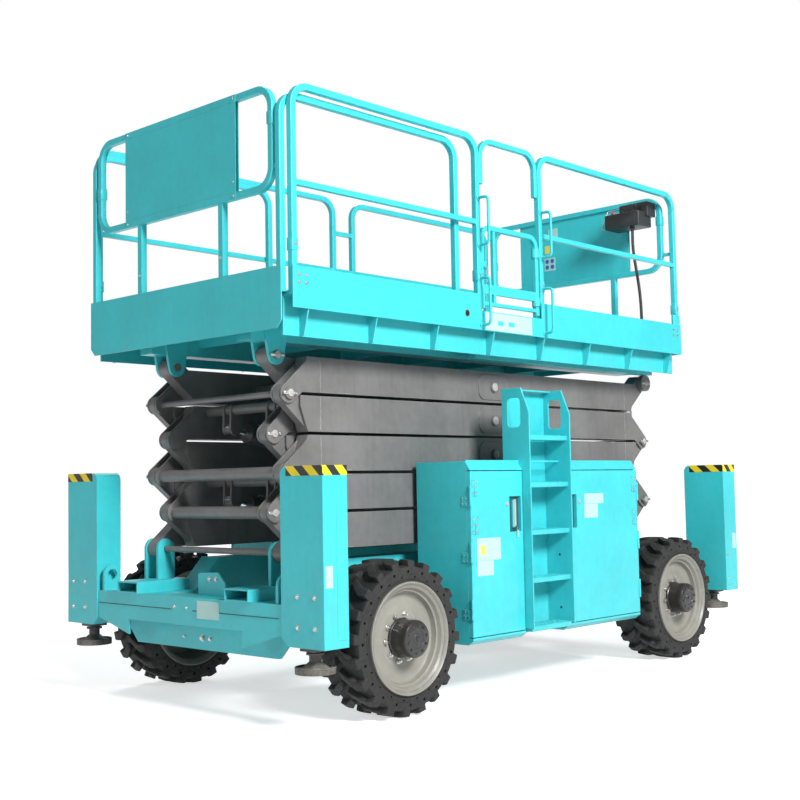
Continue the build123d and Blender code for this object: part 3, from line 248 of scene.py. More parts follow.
def make_edge_marks():
    """Where edges are rubbed: a mask along sharp edges, broken up by noise, and a normal that rounds them."""
    net, given, out = start_group(
        "edge_marks", [("Place", "Vector", None), ("Amount", "Float", 0.5)], [("Mask", "Float"), ("Normal", "Vector")],
    )
    rounded = net.add("Bevel", samples=4)
    rounded.inputs["Radius"].default_value = 0.005
    dot = net.add("VectorMath", operation="DOT_PRODUCT")
    net.feed(dot.inputs[0], rounded.outputs["Normal"])
    net.feed(dot.inputs[1], net.add("NewGeometry").outputs["Normal"])
    edge = net.ramp(dot.outputs["Value"], 0.995, 0.90)
    broken = net.ramp(net.noise(given["Place"], 24.0, 4.0, 0.65), 0.42, 0.62)
    net.feed(out["Mask"], net.product(net.product(edge, broken), given["Amount"], True))
    net.feed(out["Normal"], rounded.outputs["Normal"])
    return net.tree


def make_settled_dust():
    """Dust that thins with height and lies on faces that look up."""
    net, given, out = start_group(
        "settled_dust",
        [("Colour", "Color", None), ("Dust", "Color", (0.42, 0.37, 0.31, 1.0)), ("Place", "Vector", None),
         ("Amount", "Float", 0.3), ("Reach", "Float", 1.2)],
        [("Colour", "Color"), ("Mask", "Float")],
    )
    place = given["Place"]
    lowness = net.math("SUBTRACT", 1.0, net.math("DIVIDE", net.split(place)["Z"], given["Reach"]), True)
    upness = net.ramp(net.facing()["Z"], 0.3, 1.0, 0.0, 0.6)
    clumps = net.ramp(net.noise(place, 7.0, 6.0, 0.65), 0.35, 0.75)
    specks = net.ramp(net.noise(place, 95.0, 2.0), 0.35, 0.7, 0.5, 1.0)
    mask = net.product(net.product(net.total(lowness, upness), clumps), specks)
    mask = net.product(mask, given["Amount"], True)
    net.feed(out["Colour"], net.mix(mask, given["Colour"], given["Dust"]))
    net.feed(out["Mask"], mask)
    return net.tree


def make_fine_relief():
    """A height for bump: orange peel or grain at one scale, with finer grain over it."""
    net, given, out = start_group(
        "fine_relief", [("Place", "Vector", None), ("Scale", "Float", 180.0), ("Grain", "Float", 0.3)],
        [("Height", "Float")],
    )
    coarse, fine = (
        net.noise(given["Place"], net.product(given["Scale"], factor), 2.0, 0.5) for factor in (1.0, 5.0)
    )
    net.feed(out["Height"], net.total(coarse, net.product(fine, given["Grain"])))
    return net.tree


GROUPS = {
    "cloudiness": make_cloudiness(),
    "edge_marks": make_edge_marks(),
    "settled_dust": make_settled_dust(),
    "fine_relief": make_fine_relief(),
}


# Finishes

def start_finish(name, roughness, metallic=0.0, coat=0.0, coat_roughness=0.1):
    """A new material with the values that are even all over, its nodes and the place on the object."""
    finish = bpy.data.materials.new(name)
    finish.use_nodes = True
    net = Net(finish.node_tree)
    net.shade("Roughness", roughness)
    net.shade("Metallic", metallic)
    net.shade("Coat Weight", coat)
    net.shade("Coat Roughness", coat_roughness)
    return finish, net, net.add("TexCoord").outputs["Object"]


def painted(name, colour, worn, roughness=0.38, dust=0.25, patches=0.07, drips=0.05, wear=0.5, reach=1.2, coat=0.12):
    """Sprayed paint on steel: faint clouds, rubbed edges, settled dust and orange peel."""
    finish, net, place = start_finish(name, roughness, coat=coat, coat_roughness=0.2)
    clouds = net.group("cloudiness", Colour=(*colour, 1), Place=place, Patches=patches, Drips=drips)
    edges = net.group("edge_marks", Place=place, Amount=wear)
    rubbed = net.mix(edges["Mask"], clouds["Colour"], (*worn, 1))
    dusty = net.group("settled_dust", Colour=rubbed, Place=place, Amount=dust, Reach=reach)
    net.shade("Base Color", dusty["Colour"])
    rough = net.total(net.product(dusty["Mask"], 0.5), roughness)
    net.shade("Roughness", net.total(rough, net.product(clouds["Value"], 0.05), True))
    peel = net.group("fine_relief", Place=place, Scale=210.0, Grain=0.25)
    net.relief(peel["Height"], 0.05, 0.002, edges["Normal"])
    return finish


def bare_metal(name, colour, roughness):
    """Plated or ground metal with fine scratches."""
    finish, net, place = start_finish(name, roughness, metallic=1.0)
    clouds = net.group("cloudiness", Colour=(*colour, 1), Place=place, Patches=0.1, Drips=0.0)
    net.shade("Base Color", clouds["Colour"])
    scratches = net.noise(net.mapped(place, (14.0, 420.0, 420.0)), 1.0, 2.0)
    net.shade("Roughness", net.ramp(scratches, 0.3, 0.7, max(0.05, roughness - 0.08), roughness + 0.12))
    net.relief(scratches, 0.035, 0.0008)
    return finish


def moulded(name, colour, roughness=0.6, dust=0.15, bump=0.16):
    """Moulded plastic or rubber with a fine grain."""
    finish, net, place = start_finish(name, roughness)
    clouds = net.group("cloudiness", Colour=(*colour, 1), Place=place, Patches=0.12, Drips=0.0)
    dusty = net.group("settled_dust", Colour=clouds["Colour"], Place=place, Amount=dust)
    net.shade("Base Color", dusty["Colour"])
    net.shade("Roughness", net.total(net.product(dusty["Mask"], 0.35), roughness, True))
    grain = net.group("fine_relief", Place=place, Scale=420.0, Grain=0.5)
    net.relief(grain["Height"], bump, 0.0015)
    return finish


def plate_finish(name, colour, scuffed):
    """A blank plate or sticker: smooth film that has faded and scuffed a little."""
    finish, net, place = start_finish(name, 0.42, coat=0.2)
    clouds = net.group("cloudiness", Colour=(*colour, 1), Place=place, Patches=0.05, Drips=0.08)
    scuffs = net.ramp(net.noise(place, 70.0, 5.0, 0.7), 0.58, 0.72, 0.0, 0.5)
    net.shade("Base Color", net.mix(scuffs, clouds["Colour"], (*scuffed, 1)))
    net.relief(scuffs, 0.05, 0.001)
    return finish


def hazard_stripes():
    """Yellow and black slanted stripes for a band that goes round an upright box."""
    finish, net, place = start_finish("hazard_stripes", 0.4)
    apart, facing = net.split(place), net.facing()
    end_on = net.math("GREATER_THAN", net.absolute(facing["X"]), 0.5)
    across_ends = net.product(apart["Y"], net.math("SIGN", facing["X"]))
    across_sides = net.product(apart["X"], net.math("SIGN", facing["Y"]))
    along = net.add("Mix", data_type="FLOAT")
    for index, value in enumerate((end_on, None, net.product(across_sides, -1.2), across_ends)):
        if value is not None:
            net.feed(along.inputs[index], value)
    slanted = net.total(along.outputs[0], net.product(apart["Z"], 1.1))
    phase = net.math("FRACT", net.product(slanted, 7.3))
    mask = net.ramp(net.absolute(net.math("SUBTRACT", phase, 0.5)), 0.24, 0.26)
    striped = net.mix(mask, (0.80, 0.62, 0.02, 1), (0.012, 0.014, 0.013, 1))
    clouds = net.group("cloudiness", Colour=striped, Place=place, Patches=0.1, Drips=0.1)
    net.shade("Base Color", clouds["Colour"])
    net.shade("Roughness", net.ramp(net.noise(place, 60.0, 4.0), 0.3, 0.7, 0.35, 0.6))
    return finish


def tyre_rubber():
    """Grey rubber: painted shade in the hollows between the lugs, rubbed edges, a little dust and a fine pitted skin.
    """
    finish, net, place = start_finish("tyre_rubber", 0.8)
    clouds = net.group("cloudiness", Colour=(0.013, 0.0135, 0.013, 1), Place=place, Patches=0.3, Drips=0.0)
    apart = net.split(place)
    along = net.math("SUBTRACT", net.absolute(apart["X"]), WHEEL_X)
    height = net.math("SUBTRACT", apart["Z"], WHEEL_Z)
    radius = net.math("SQRT", net.total(net.math("POWER", height, 2.0), net.product(along, along)))
    off_middle = net.absolute(net.math("SUBTRACT", net.absolute(apart["Y"]), WHEEL_Y))
    # Painted shade: a near-black tone on the casing between the lugs, below the lug tops, where shade falls.
    painted_hollow_shade = net.product(net.ramp(radius, 0.408, 0.390), net.ramp(off_middle, 0.149, 0.143))
    rubber_with_painted_shade = net.mix(painted_hollow_shade, clouds["Colour"], (0.010, 0.010, 0.010, 1))
    edges = net.group("edge_marks", Place=place, Amount=0.4)
    rubbed = net.mix(edges["Mask"], rubber_with_painted_shade, (0.060, 0.060, 0.056, 1))
    dust = (0.13, 0.125, 0.11, 1)
    dusty = net.group("settled_dust", Colour=rubbed, Dust=dust, Place=place, Amount=0.09, Reach=2.2)
    net.shade("Base Color", dusty["Colour"])
    net.shade("Roughness", net.ramp(net.noise(place, 55.0), 0.3, 0.7, 0.62, 0.88))
    grain = net.group("fine_relief", Place=place, Scale=150.0, Grain=0.8)
    net.relief(grain["Height"], 0.3, 0.003, edges["Normal"])
    return finish


def deck_paint():
    """Turquoise paint with a raised diamond pattern on faces that look up."""
    finish = painted("deck_paint", TURQUOISE, TURQUOISE_WORN, dust=0.3, reach=2.6)
    net = Net(finish.node_tree)
    place = net.tree.nodes["Texture Coordinate"].outputs["Object"]
    level = net.ramp(net.facing()["Z"], 0.9, 0.95)
    bars = []
    for turn in (45, -45):
        apart = net.split(net.mapped(place, (28, 28, 28), math.radians(turn)))
        waves = []
        for axis, low in (("X", 0.86), ("Y", 0.25)):
            wave = net.math("SINE", net.product(apart[axis], math.pi))
            waves.append(net.ramp(net.absolute(wave), low, low + 0.12))
        bars.append(net.product(*waves))
    pattern = net.product(net.math("MAXIMUM", *bars), level)
    net.relief(pattern, 0.6, 0.002, net.shader.inputs["Normal"].links[0].from_socket)
    return finish


TURQUOISE = (0.040, 0.540, 0.590)
TURQUOISE_WORN = (0.25, 0.78, 0.76)

turquoise = painted("turquoise_paint", TURQUOISE, TURQUOISE_WORN, dust=0.16)
deck_turquoise = deck_paint()
arm_grey = painted(
    "arm_grey_paint", (0.150, 0.147, 0.145), (0.46, 0.46, 0.45), roughness=0.36, dust=0.14, patches=0.16, drips=0.14,
)
axle_paint = painted(
    "dark_axle_paint", (0.03, 0.031, 0.033), (0.14, 0.13, 0.12), roughness=0.5, dust=0.6, patches=0.25,
)
cylinder_paint = painted("cylinder_paint", (0.075, 0.073, 0.071), (0.3, 0.29, 0.28), roughness=0.36, patches=0.15)
engine_grey = painted("engine_grey", (0.11, 0.115, 0.12), (0.3, 0.3, 0.3), roughness=0.5, dust=0.4)
leg_paint = painted("leg_dark_paint", (0.022, 0.024, 0.027), (0.2, 0.18, 0.16), roughness=0.5, dust=0.8)
rim_paint = painted(
    "rim_grey_paint", (0.245, 0.24, 0.21), (0.45, 0.44, 0.41), roughness=0.4, dust=0.3, patches=0.12, reach=0.9,
)
hub_black = painted("hub_black", (0.011, 0.011, 0.012), (0.11, 0.1, 0.09), roughness=0.3, dust=0.08, patches=0.2)
pin_steel = painted("pin_steel", (0.42, 0.40, 0.38), (0.6, 0.58, 0.55), roughness=0.35, dust=0.1, patches=0.1)
weld_grey = painted("weld_grey", (0.22, 0.215, 0.21), (0.5, 0.5, 0.5), roughness=0.35, dust=0.1, patches=0.2)
chrome = bare_metal("rod_chrome", (0.72, 0.72, 0.73), 0.14)
zinc = bare_metal("zinc_bolts", (0.55, 0.55, 0.53), 0.33)
rubber = tyre_rubber()
black_plastic = moulded("black_plastic", (0.022, 0.022, 0.024), 0.48)
cable_rubber = moulded("cable_rubber", (0.018, 0.018, 0.018), bump=0.25)
red_plastic = moulded("red_plastic", (0.55, 0.02, 0.015), 0.35, dust=0.05)
green_plastic = moulded("green_plastic", (0.02, 0.3, 0.08), 0.35, dust=0.05)
# Painted shade: the dark teal of a latch recess's floor and of an end beam's groove, where shade falls in the paint.
painted_recess_shade = moulded("painted_recess_shade", (0.010, 0.090, 0.105), dust=0.1)
# Painted shade: near-black discs that stand where holes are, for the shade inside them.
painted_hole_shade = moulded("painted_hole_shade", (0.006, 0.006, 0.006), 0.9, dust=0.3)
white_plate = plate_finish("white_plate", (0.42, 0.68, 0.65), (0.32, 0.5, 0.48))
yellow_plate = plate_finish("yellow_plate", (0.83, 0.68, 0.10), (0.62, 0.52, 0.2))
blue_plate = plate_finish("blue_plate", (0.03, 0.12, 0.42), (0.2, 0.3, 0.45))
stripes = hazard_stripes()


# Modelling helpers

def meshes(count):
    return [bmesh.new() for _ in range(count)]


def aimed(point, direction, spin=0.0):
    """A matrix that puts +Z along a direction at a point."""
    turn = Vector(direction).to_track_quat("Z", "Y").to_matrix().to_4x4()
    return Matrix.Translation(point) @ turn @ Matrix.Rotation(spin, 4, "Z")


def raised(place, height):
    return place @ Matrix.Translation((0, 0, height))


def edges_of(vertices):
    """Edges whose two ends are both among some vertices."""
    chosen = set(vertices)
    return [e for e in {e for v in vertices for e in v.link_edges} if e.verts[0] in chosen and e.verts[1] in chosen]


def bevelled(bm, vertices, width, segments=2, angle=0.6):
    """Round the sharp edges among some vertices."""
    sharp = [e for e in edges_of(vertices) if len(e.link_faces) == 2 and e.calc_face_angle(0) > angle]
    bmesh.ops.bevel(
        bm, geom=sharp, offset=width, offset_type="OFFSET", segments=segments,
        profile=0.5, affect="EDGES", clamp_overlap=True, material=-1,
    )


def add_box(bm, low, high, edge, segments=2, place=None):
    """A box between two corners with rounded edges."""
    low, high = Vector(low), Vector(high)
    shape = Matrix.Translation((low + high) / 2) @ Matrix.Diagonal((*(high - low), 1))
    made = bmesh.ops.create_cube(bm, size=1, matrix=(place @ shape) if place else shape)["verts"]
    bevelled(bm, made, edge, segments)


def add_slab(bm, axis, spans, edge, segments=1):
    """A flat box. The first span lies across the axis and may run either way, the others are its width and height."""
    near, far = sorted(spans[0])
    (a1, a2), (z1, z2) = spans[1:]
    low, high = ((near, a1, z1), (far, a2, z2)) if axis == "x" else ((a1, near, z1), (a2, far, z2))
    add_box(bm, low, high, edge, segments)


def add_disc(bm, place, radius, height, sides=24, edge=0.0, top=None):
    """A round or many sided block that stands on a placed plane."""
    made = bmesh.ops.create_cone(
        bm, cap_ends=True, segments=sides, radius1=radius, radius2=radius if top is None else top,
        depth=height, matrix=raised(place, height / 2),
    )["verts"]
    if edge:
        bevelled(bm, made, edge, 2)


def add_bolt(bm, point, direction, size):
    """A washer, a hexagon head and the end of the thread."""
    place = aimed(point, direction, 0.3)
    add_disc(bm, place, size * 1.15, size * 0.18, 20)
    add_disc(bm, raised(place, size * 0.18), size * 0.88, size * 0.6, 6, size * 0.07)
    add_disc(bm, raised(place, size * 0.78), size * 0.45, size * 0.12, 12)


def add_spin(bm, outline, place, steps=64):
    """A ring or disc turned from an outline of radius and height about a placed +Z."""
    points = [bm.verts.new(place @ Vector((radius, 0, height))) for radius, height in outline]
    chain = [bm.edges.new(pair) for pair in zip(points, points[1:])]
    axis = place.to_3x3() @ Vector((0, 0, 1))
    bmesh.ops.spin(
        bm, geom=points + chain, cent=place.translation, axis=axis, angle=math.tau, steps=steps, use_merge=True,
        use_duplicate=False,
    )


def add_collar(bm, radii, heights, place, steps):
    """A square edged ring between two radii and two heights."""
    (inner, outer), (low, high) = radii, heights
    add_spin(bm, [(inner, low), (outer, low), (outer, high), (inner, high), (inner, low)], place, steps)


def add_rod(bm, points, radius, sides=12):
    """A round bar along straight runs, mitred at its corners."""
    points = [Vector(p) for p in points]
    rings = []
    for index, point in enumerate(points):
        into = (point - points[index - 1]).normalized() if index else None
        away = (points[index + 1] - point).normalized() if index + 1 < len(points) else None
        along = into if away is None else away if into is None else (into + away).normalized()
        made = bmesh.ops.create_circle(bm, segments=sides, radius=radius, matrix=aimed(point, along))["verts"]
        rings.append(edges_of(made))
    for first, second in zip(rings, rings[1:]):
        bmesh.ops.bridge_loops(bm, edges=first + second)
    bmesh.ops.holes_fill(bm, edges=rings[0] + rings[-1], sides=sides)


def rounded_runs(points, radius, steps=6):
    """The points of straight runs whose corners are rounded."""
    points = [Vector(p) for p in points]
    result = [points[0]]
    for before, here, after in zip(points, points[1:], points[2:]):
        into, away = (here - before).normalized(), (after - here).normalized()
        start, end = here - into * radius, here + away * radius
        for step in range(steps + 1):
            t = step / steps
            result.append(start * (1 - t) ** 2 + here * 2 * t * (1 - t) + end * t ** 2)
    return result + [points[-1]]


def add_plate(bm, outline, low, high, edge=0.0):
    """A flat plate across X from an outline in Y and Z, between two places on X."""
    face = bm.faces.new([bm.verts.new((low, y, z)) for y, z in outline])
    moved = bmesh.ops.extrude_face_region(bm, geom=[face])
    top = [v for v in moved["geom"] if isinstance(v, bmesh.types.BMVert)]
    bmesh.ops.translate(bm, verts=top, vec=(high - low, 0, 0))
    if edge:
        bevelled(bm, list(face.verts) + top, edge, 1)


def carved(shape, cutter):
    """A mesh of one shape with another one cut out of it. Both bmeshes are used up."""
    made = []
    for source in (shape, cutter):
        item = bpy.data.objects.new("part", bpy.data.meshes.new("part"))
        source.to_mesh(item.data)
        source.free()
        scene.collection.objects.link(item)
        made.append(item)
    cut = made[0].modifiers.new("cut", "BOOLEAN")
    cut.operation = "DIFFERENCE"
    cut.object = made[1]
    cut.solver = "EXACT"
    result = bpy.data.meshes.new_from_object(made[0].evaluated_get(bpy.context.evaluated_depsgraph_get()))
    for item in made:
        bpy.data.objects.remove(item)
    return result


def take_mesh(bm, mesh):
    """Add a mesh to a bmesh and remove it."""
    bm.from_mesh(mesh)
    bpy.data.meshes.remove(mesh)


def finish_piece(bm, name, body, finish, angle=0.6, merge=True):
    """Turn a bmesh into a named piece on its body, with one finish."""
    if merge:
        bmesh.ops.remove_doubles(bm, verts=bm.verts[:], dist=1e-5)
    bmesh.ops.recalc_face_normals(bm, faces=bm.faces[:])
    mesh = bpy.data.meshes.new(name)
    bm.to_mesh(mesh)
    bm.free()
    mesh.materials.append(finish)
    mesh.polygons.foreach_set("use_smooth", [True] * len(mesh.polygons))
    mesh.set_sharp_from_angle(angle=angle)
    piece = bpy.data.objects.new(name, mesh)
    scene.collection.objects.link(piece)
    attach(piece, body)
    return piece


def paint_piece(bm, name, body, merge=True):
    """A finished piece in the machine's turquoise."""
    return finish_piece(bm, name, body, turquoise, merge=merge)


trees = {}


def seat(node, point, direction):
    """Where a straight line from a point first meets a CAD node, or the point itself."""
    if node not in trees:
        mesh = nodes[node].data
        trees[node] = BVHTree.FromPolygons([v.co for v in mesh.vertices], [p.vertices for p in mesh.polygons])
    hit = trees[node].ray_cast(Vector(point), Vector(direction).normalized())
    return hit[0] if hit[0] is not None else Vector(point)


# Control cable, on the same route as the source's

CABLE_ROUTE = [
    (-1.5717, 0.680, 3.1407), (-1.5717, 0.680, 3.081), (-1.5597, 0.686, 3.001), (-1.5557, 0.700, 2.891),
    (-1.5637, 0.716, 2.761), (-1.5777, 0.726, 2.621), (-1.5857, 0.728, 2.461), (-1.5857, 0.728, 2.2503),
]


def make_cable():
    curve = bpy.data.curves.new("cable_line", "CURVE")
    curve.dimensions = "3D"
    curve.bevel_depth = 0.011
    curve.bevel_resolution = 5
    curve.resolution_u = 12
    line = curve.splines.new("NURBS")
    line.points.add(len(CABLE_ROUTE) - 1)
    for point, place in zip(line.points, CABLE_ROUTE):
        point.co = (*place, 1)
    line.order_u = 3
    line.use_endpoint_u = True
    curve.materials.append(cable_rubber)
    cable = bpy.data.objects.new("cable", curve)
    scene.collection.objects.link(cable)
    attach(cable, "platform")
    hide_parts("control_cable")


place_camera()
make_cable()


# Wheels and tyres: outlines are pairs of radius and height along the axle

RIM_OUTLINE = [
    (0.090, 0.088), (0.150, 0.088), (0.158, 0.0865), (0.166, 0.082), (0.205, 0.079), (0.228, 0.082), (0.240, 0.090),
    (0.246, 0.104), (0.249, 0.118), (0.2575, 0.122), (0.262, 0.129), (0.268, 0.141), (0.279, 0.148), (0.287, 0.155),
    (0.292, 0.1625), (0.297, 0.1655), (0.3015, 0.163), (0.302, 0.157), (0.302, 0.1503), (0.2817, 0.1503),
    (0.2817, -0.1503), (0.302, -0.1503), (0.302, -0.158), (0.297, -0.1625), (0.290, -0.160), (0.280, -0.150),
    (0.266, -0.138), (0.262, -0.128), (0.262, 0.052), (0.258, 0.060), (0.250, 0.064), (0.090, 0.064),
]
HUB_OUTLINE = [
    (0.0, 0.034), (0.132, 0.034), (0.132, 0.064), (0.0997, 0.064), (0.0997, 0.090), (0.106, 0.090), (0.106, 0.098),
    (0.1, 0.104), (0.0985, 0.150), (0.1, 0.156), (0.1, 0.196), (0.094, 0.207), (0.086, 0.211), (0.050, 0.211),
    (0.047, 0.2075), (0.030, 0.2075), (0.027, 0.211), (0.0, 0.211),
]
CASING_OUTLINE = [
    (0.2817, -0.150), (0.306, -0.150), (0.309, -0.1465), (0.313, -0.1465), (0.316, -0.1497), (0.336, -0.1497),
    (0.3385, -0.1475), (0.341, -0.1497), (0.370, -0.1497), (0.380, -0.146), (0.385, -0.136), (0.386, -0.120),
    (0.386, 0.0),
]
LUG_WIDTH = 0.058
LUG_SHIFT = 0.076
LUG_COUNT = 20
LUG_ROOT = 0.368
LUG_RISE = 0.0515
LUG_BEND = TYRE_HALF - 0.050
HUB_FACE = 0.211
NUT_FACE = 0.088
WHEEL_BOLTS = 10


def ring_places(count, radius, height, turn=0.0):
    """Evenly spaced places on a circle about +Z, each with its angle."""
    step = math.tau / count
    return [
        (Vector((radius * math.cos(n * step + turn), radius * math.sin(n * step + turn), height)), n * step + turn)
        for n in range(count)
    ]


def axle_place(x, side):
    """A matrix whose +Z is a wheel's outward axis at its middle."""
    return Matrix.Translation((x, side * WHEEL_Y, WHEEL_Z)) @ Matrix.Rotation(-side * math.pi / 2, 4, "X")


def make_casing():
    """The tyre's body with its two rings of holes in each sidewall, about the origin with +Z outwards."""
    casing, holes = meshes(2)
    mirrored_part = [(radius, -height) for radius, height in reversed(CASING_OUTLINE[:-1])]
    add_spin(casing, CASING_OUTLINE + mirrored_part + [CASING_OUTLINE[0]], Matrix(), 80)
    bmesh.ops.remove_doubles(casing, verts=casing.verts[:], dist=1e-5)
    bmesh.ops.recalc_face_normals(casing, faces=casing.faces[:])
    for side in SIDES:
        for radius, size, turn in ((0.354, 0.0088, 0.0), (0.3265, 0.0062, math.pi / LUG_COUNT)):
            for point, _ in ring_places(LUG_COUNT, radius, side * 0.112, turn):
                add_disc(holes, Matrix.Translation(point - Vector((0, 0, 0.045))), size, 0.09, 12)
    return carved(casing, holes)


def add_lug(bm, side, turn):
    """One bent lug, drawn flat and then wrapped round the tyre."""
    reach = (LUG_SHIFT + LUG_WIDTH) / 2
    half, bend, near = TYRE_HALF, LUG_BEND, 0.004
    outline = [
        (reach, half), (reach - LUG_WIDTH, half), (reach - LUG_WIDTH - 0.006, half - 0.03), (reach - LUG_WIDTH, bend),
        (-reach, near), (LUG_WIDTH - reach - 0.008, near), (reach - 0.002, bend - 0.012), (reach, half - 0.02),
    ]
    face = bm.faces.new([bm.verts.new((x, LUG_ROOT, side * y)) for x, y in outline])
    moved = bmesh.ops.extrude_face_region(bm, geom=[face])
    top = [v for v in moved["geom"] if isinstance(v, bmesh.types.BMVert)]
    bmesh.ops.translate(bm, verts=top, vec=(0, LUG_RISE, 0))
    middle = sum((v.co for v in top), Vector()) / len(top)
    bmesh.ops.scale(bm, vec=(0.9, 1, 0.96), verts=top, space=Matrix.Translation(-middle))
    shoulder = [v for v in top if abs(v.co.z) > half - 0.012]
    bmesh.ops.translate(bm, verts=shoulder, vec=(0, -0.006, 0))
    for x in (-0.03, 0.0, 0.03):
        bmesh.ops.bisect_plane(
            bm, geom=bm.verts[:] + bm.edges[:] + bm.faces[:], plane_co=(x, 0, 0), plane_no=(1, 0, 0),
        )
    bevelled(bm, bm.verts[:], 0.0045, 2, 0.5)
    for vertex in bm.verts:
        angle = vertex.co.x / TYRE_RADIUS + turn
        radius = vertex.co.y
        vertex.co = Vector((radius * math.cos(angle), radius * math.sin(angle), vertex.co.z))


def make_tyre_mesh():
    """Lugs and casing together, about the origin with +Z outwards."""
    casing = make_casing()
    bm = bmesh.new()
    step = math.tau / LUG_COUNT
    for side in SIDES:
        for number in range(LUG_COUNT):
            part = bmesh.new()
            add_lug(part, side, number * step + (step / 2 if side > 0 else 0))
            bmesh.ops.recalc_face_normals(part, faces=part.faces[:])
            mesh = bpy.data.meshes.new("lug")
            part.to_mesh(mesh)
            part.free()
            take_mesh(bm, mesh)
    take_mesh(bm, casing)
    return bm


def make_wheels():
    tyre_shape = bpy.data.meshes.new("tyre_shape")
    made = make_tyre_mesh()
    made.to_mesh(tyre_shape)
    made.free()
    for end_word, end, side_word, side in CORNERS:
        corner = f"{end_word}_{side_word}"
        place = axle_place(end * WHEEL_X, side)
        body = f"{corner}_wheel"
        tyre, rim, hub, nuts, plate = meshes(5)

        tyre.from_mesh(tyre_shape)
        bmesh.ops.transform(tyre, matrix=place @ Matrix.Diagonal((1, side, 1, 1)), verts=tyre.verts[:])
        if side < 0:
            bmesh.ops.reverse_faces(tyre, faces=tyre.faces[:])
        piece = finish_piece(tyre, f"{corner}_tyre", body, rubber, 0.7, merge=False)
        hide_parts(f"tyre_{corner}")

        add_spin(rim, RIM_OUTLINE + [RIM_OUTLINE[0]], place, 96)
        piece = finish_piece(rim, f"{corner}_rim", body, rim_paint, 0.5)
        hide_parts(f"wheel_{corner}")

        add_spin(hub, HUB_OUTLINE, place, 64)
        for point, _ in ring_places(WHEEL_BOLTS, 0.074, HUB_FACE, 0.2):
            add_disc(hub, place @ Matrix.Translation(point), 0.0078, 0.006, 6, 0.0008)
        add_disc(hub, place @ Matrix.Translation((0.0, 0.0, 0.2075)), 0.014, 0.008, 6, 0.001)
        add_disc(hub, place @ Matrix.Translation((0.058, 0.0, 0.207)), 0.009, 0.009, 6, 0.001)
        finish_piece(hub, f"{corner}_hub", body, hub_black, 0.5)

        for point, angle in ring_places(WHEEL_BOLTS, 0.126, NUT_FACE, 0.1):
            spot = place @ Matrix.Translation(point) @ Matrix.Rotation(angle, 4, "Z")
            add_disc(nuts, spot, 0.0155, 0.003, 18)
            add_disc(nuts, raised(spot, 0.003), 0.0125, 0.012, 6, 0.0012)
            add_disc(nuts, raised(spot, 0.015), 0.0075, 0.009, 12, 0.001)
        finish_piece(nuts, f"{corner}_nuts", body, zinc, 0.5)

        turn = place @ Matrix.Rotation(2.6, 4, "Z")
        add_box(plate, (0.0985, -0.013, 0.118), (0.1012, 0.013, 0.168), 0.0006, 1, turn)
        finish_piece(plate, f"{corner}_hub_plate", body, white_plate, 0.5)
    bpy.data.meshes.remove(tyre_shape)


# Outrigger housings: stripes, bolts, blank labels and cover plates

SKIN = 0.0012
BAND_Z = (1.297, 1.3475)
COVER_Z = (0.47, 1.292)
COVER_WIDTH = 0.078
LABEL_X, LABEL_WIDTH = 2.022, 0.05
LABEL_Z = (0.735, 0.845)
FOOT_X, FOOT_Y, FOOT_Z = 2.001, 1.004, 0.300


def make_outrigger_trim():
    bands, plates, bolts, labels = meshes(4)
    for end in ENDS:
        for side in SIDES:
            face_x, face_y = end * HOUSING_OUTER_X, side * HOUSING_OUTER_Y
            x1, x2 = sorted((end * HOUSING_INNER_X, face_x))
            y1, y2 = sorted((side * (HOUSING_INNER_Y + 0.045), face_y))
            low = (x1 - SKIN, y1 - SKIN * (side < 0), BAND_Z[0])
            high = (x2 + SKIN, y2 + SKIN * (side > 0), BAND_Z[1])
            add_box(bands, low, high, 0.0008, 1)
            for y in (0.970, 1.098):
                for z in (0.533, 0.687):
                    add_bolt(bolts, (face_x, side * y, z), (end, 0, 0), 0.011)
            if end < 0:
                for z in (0.53, 0.69):
                    add_bolt(bolts, (end * (HOUSING_INNER_X + 0.035), face_y, z), (0, side, 0), 0.009)
            x = min(end * HOUSING_INNER_X, end * (HOUSING_INNER_X + COVER_WIDTH))
            add_slab(plates, "y", ((face_y - SKIN, face_y + SKIN), (x, x + COVER_WIDTH), COVER_Z), 0.0006)
            x = min(end * LABEL_X, end * (LABEL_X + LABEL_WIDTH))
            label_y = (side * (HOUSING_OUTER_Y - 0.001), side * (HOUSING_OUTER_Y + 0.0008))
            add_slab(labels, "y", (label_y, (x, x + LABEL_WIDTH), LABEL_Z), 0.0004)
    finish_piece(bands, "outrigger_stripes", "chassis", stripes)
    paint_piece(plates, "outrigger_covers", "chassis")
    finish_piece(bolts, "outrigger_bolts", "chassis", zinc)
    finish_piece(labels, "outrigger_labels", "chassis", white_plate)


def make_foot_pads():
    """A raised ring and six bolts on each foot's pad, and a collar on its stem."""
    for end_word, end, side_word, side in CORNERS:
        body = f"leg_{end_word}_{side_word}"
        centre = Matrix.Translation((end * FOOT_X, side * FOOT_Y, FOOT_Z))
        trim = bmesh.new()
        add_spin(trim, [
            (0.105, 0.026), (0.107, 0.031), (0.104, 0.035), (0.099, 0.031), (0.098, 0.026), (0.105, 0.026),
        ], centre, 48)
        for point, _ in ring_places(6, 0.085, 0.026, 0.4):
            add_disc(trim, centre @ Matrix.Translation(point), 0.007, 0.006, 6, 0.0006)
        add_collar(trim, (0.034, 0.047), (0.094, 0.104), centre, 32)
        finish_piece(trim, f"{body}_pad_trim", body, leg_paint)


# Cabinets: latches, hinges, the key, labels and rain lips

LATCH_INSET = 0.070
LATCH_HALF = 0.0545
LATCH_Z = (0.9525, 1.1615)
RECESS_DEPTH = 0.022
GRIP_HALF = 0.0095
GRIP_Z = (0.972, 1.142)
LOCK_Z = 1.116
HINGE_INSET = 0.048
HINGE_HEIGHT = 0.104
LEAF_HALF = 0.0125
LEAF_THICKNESS = 0.0025


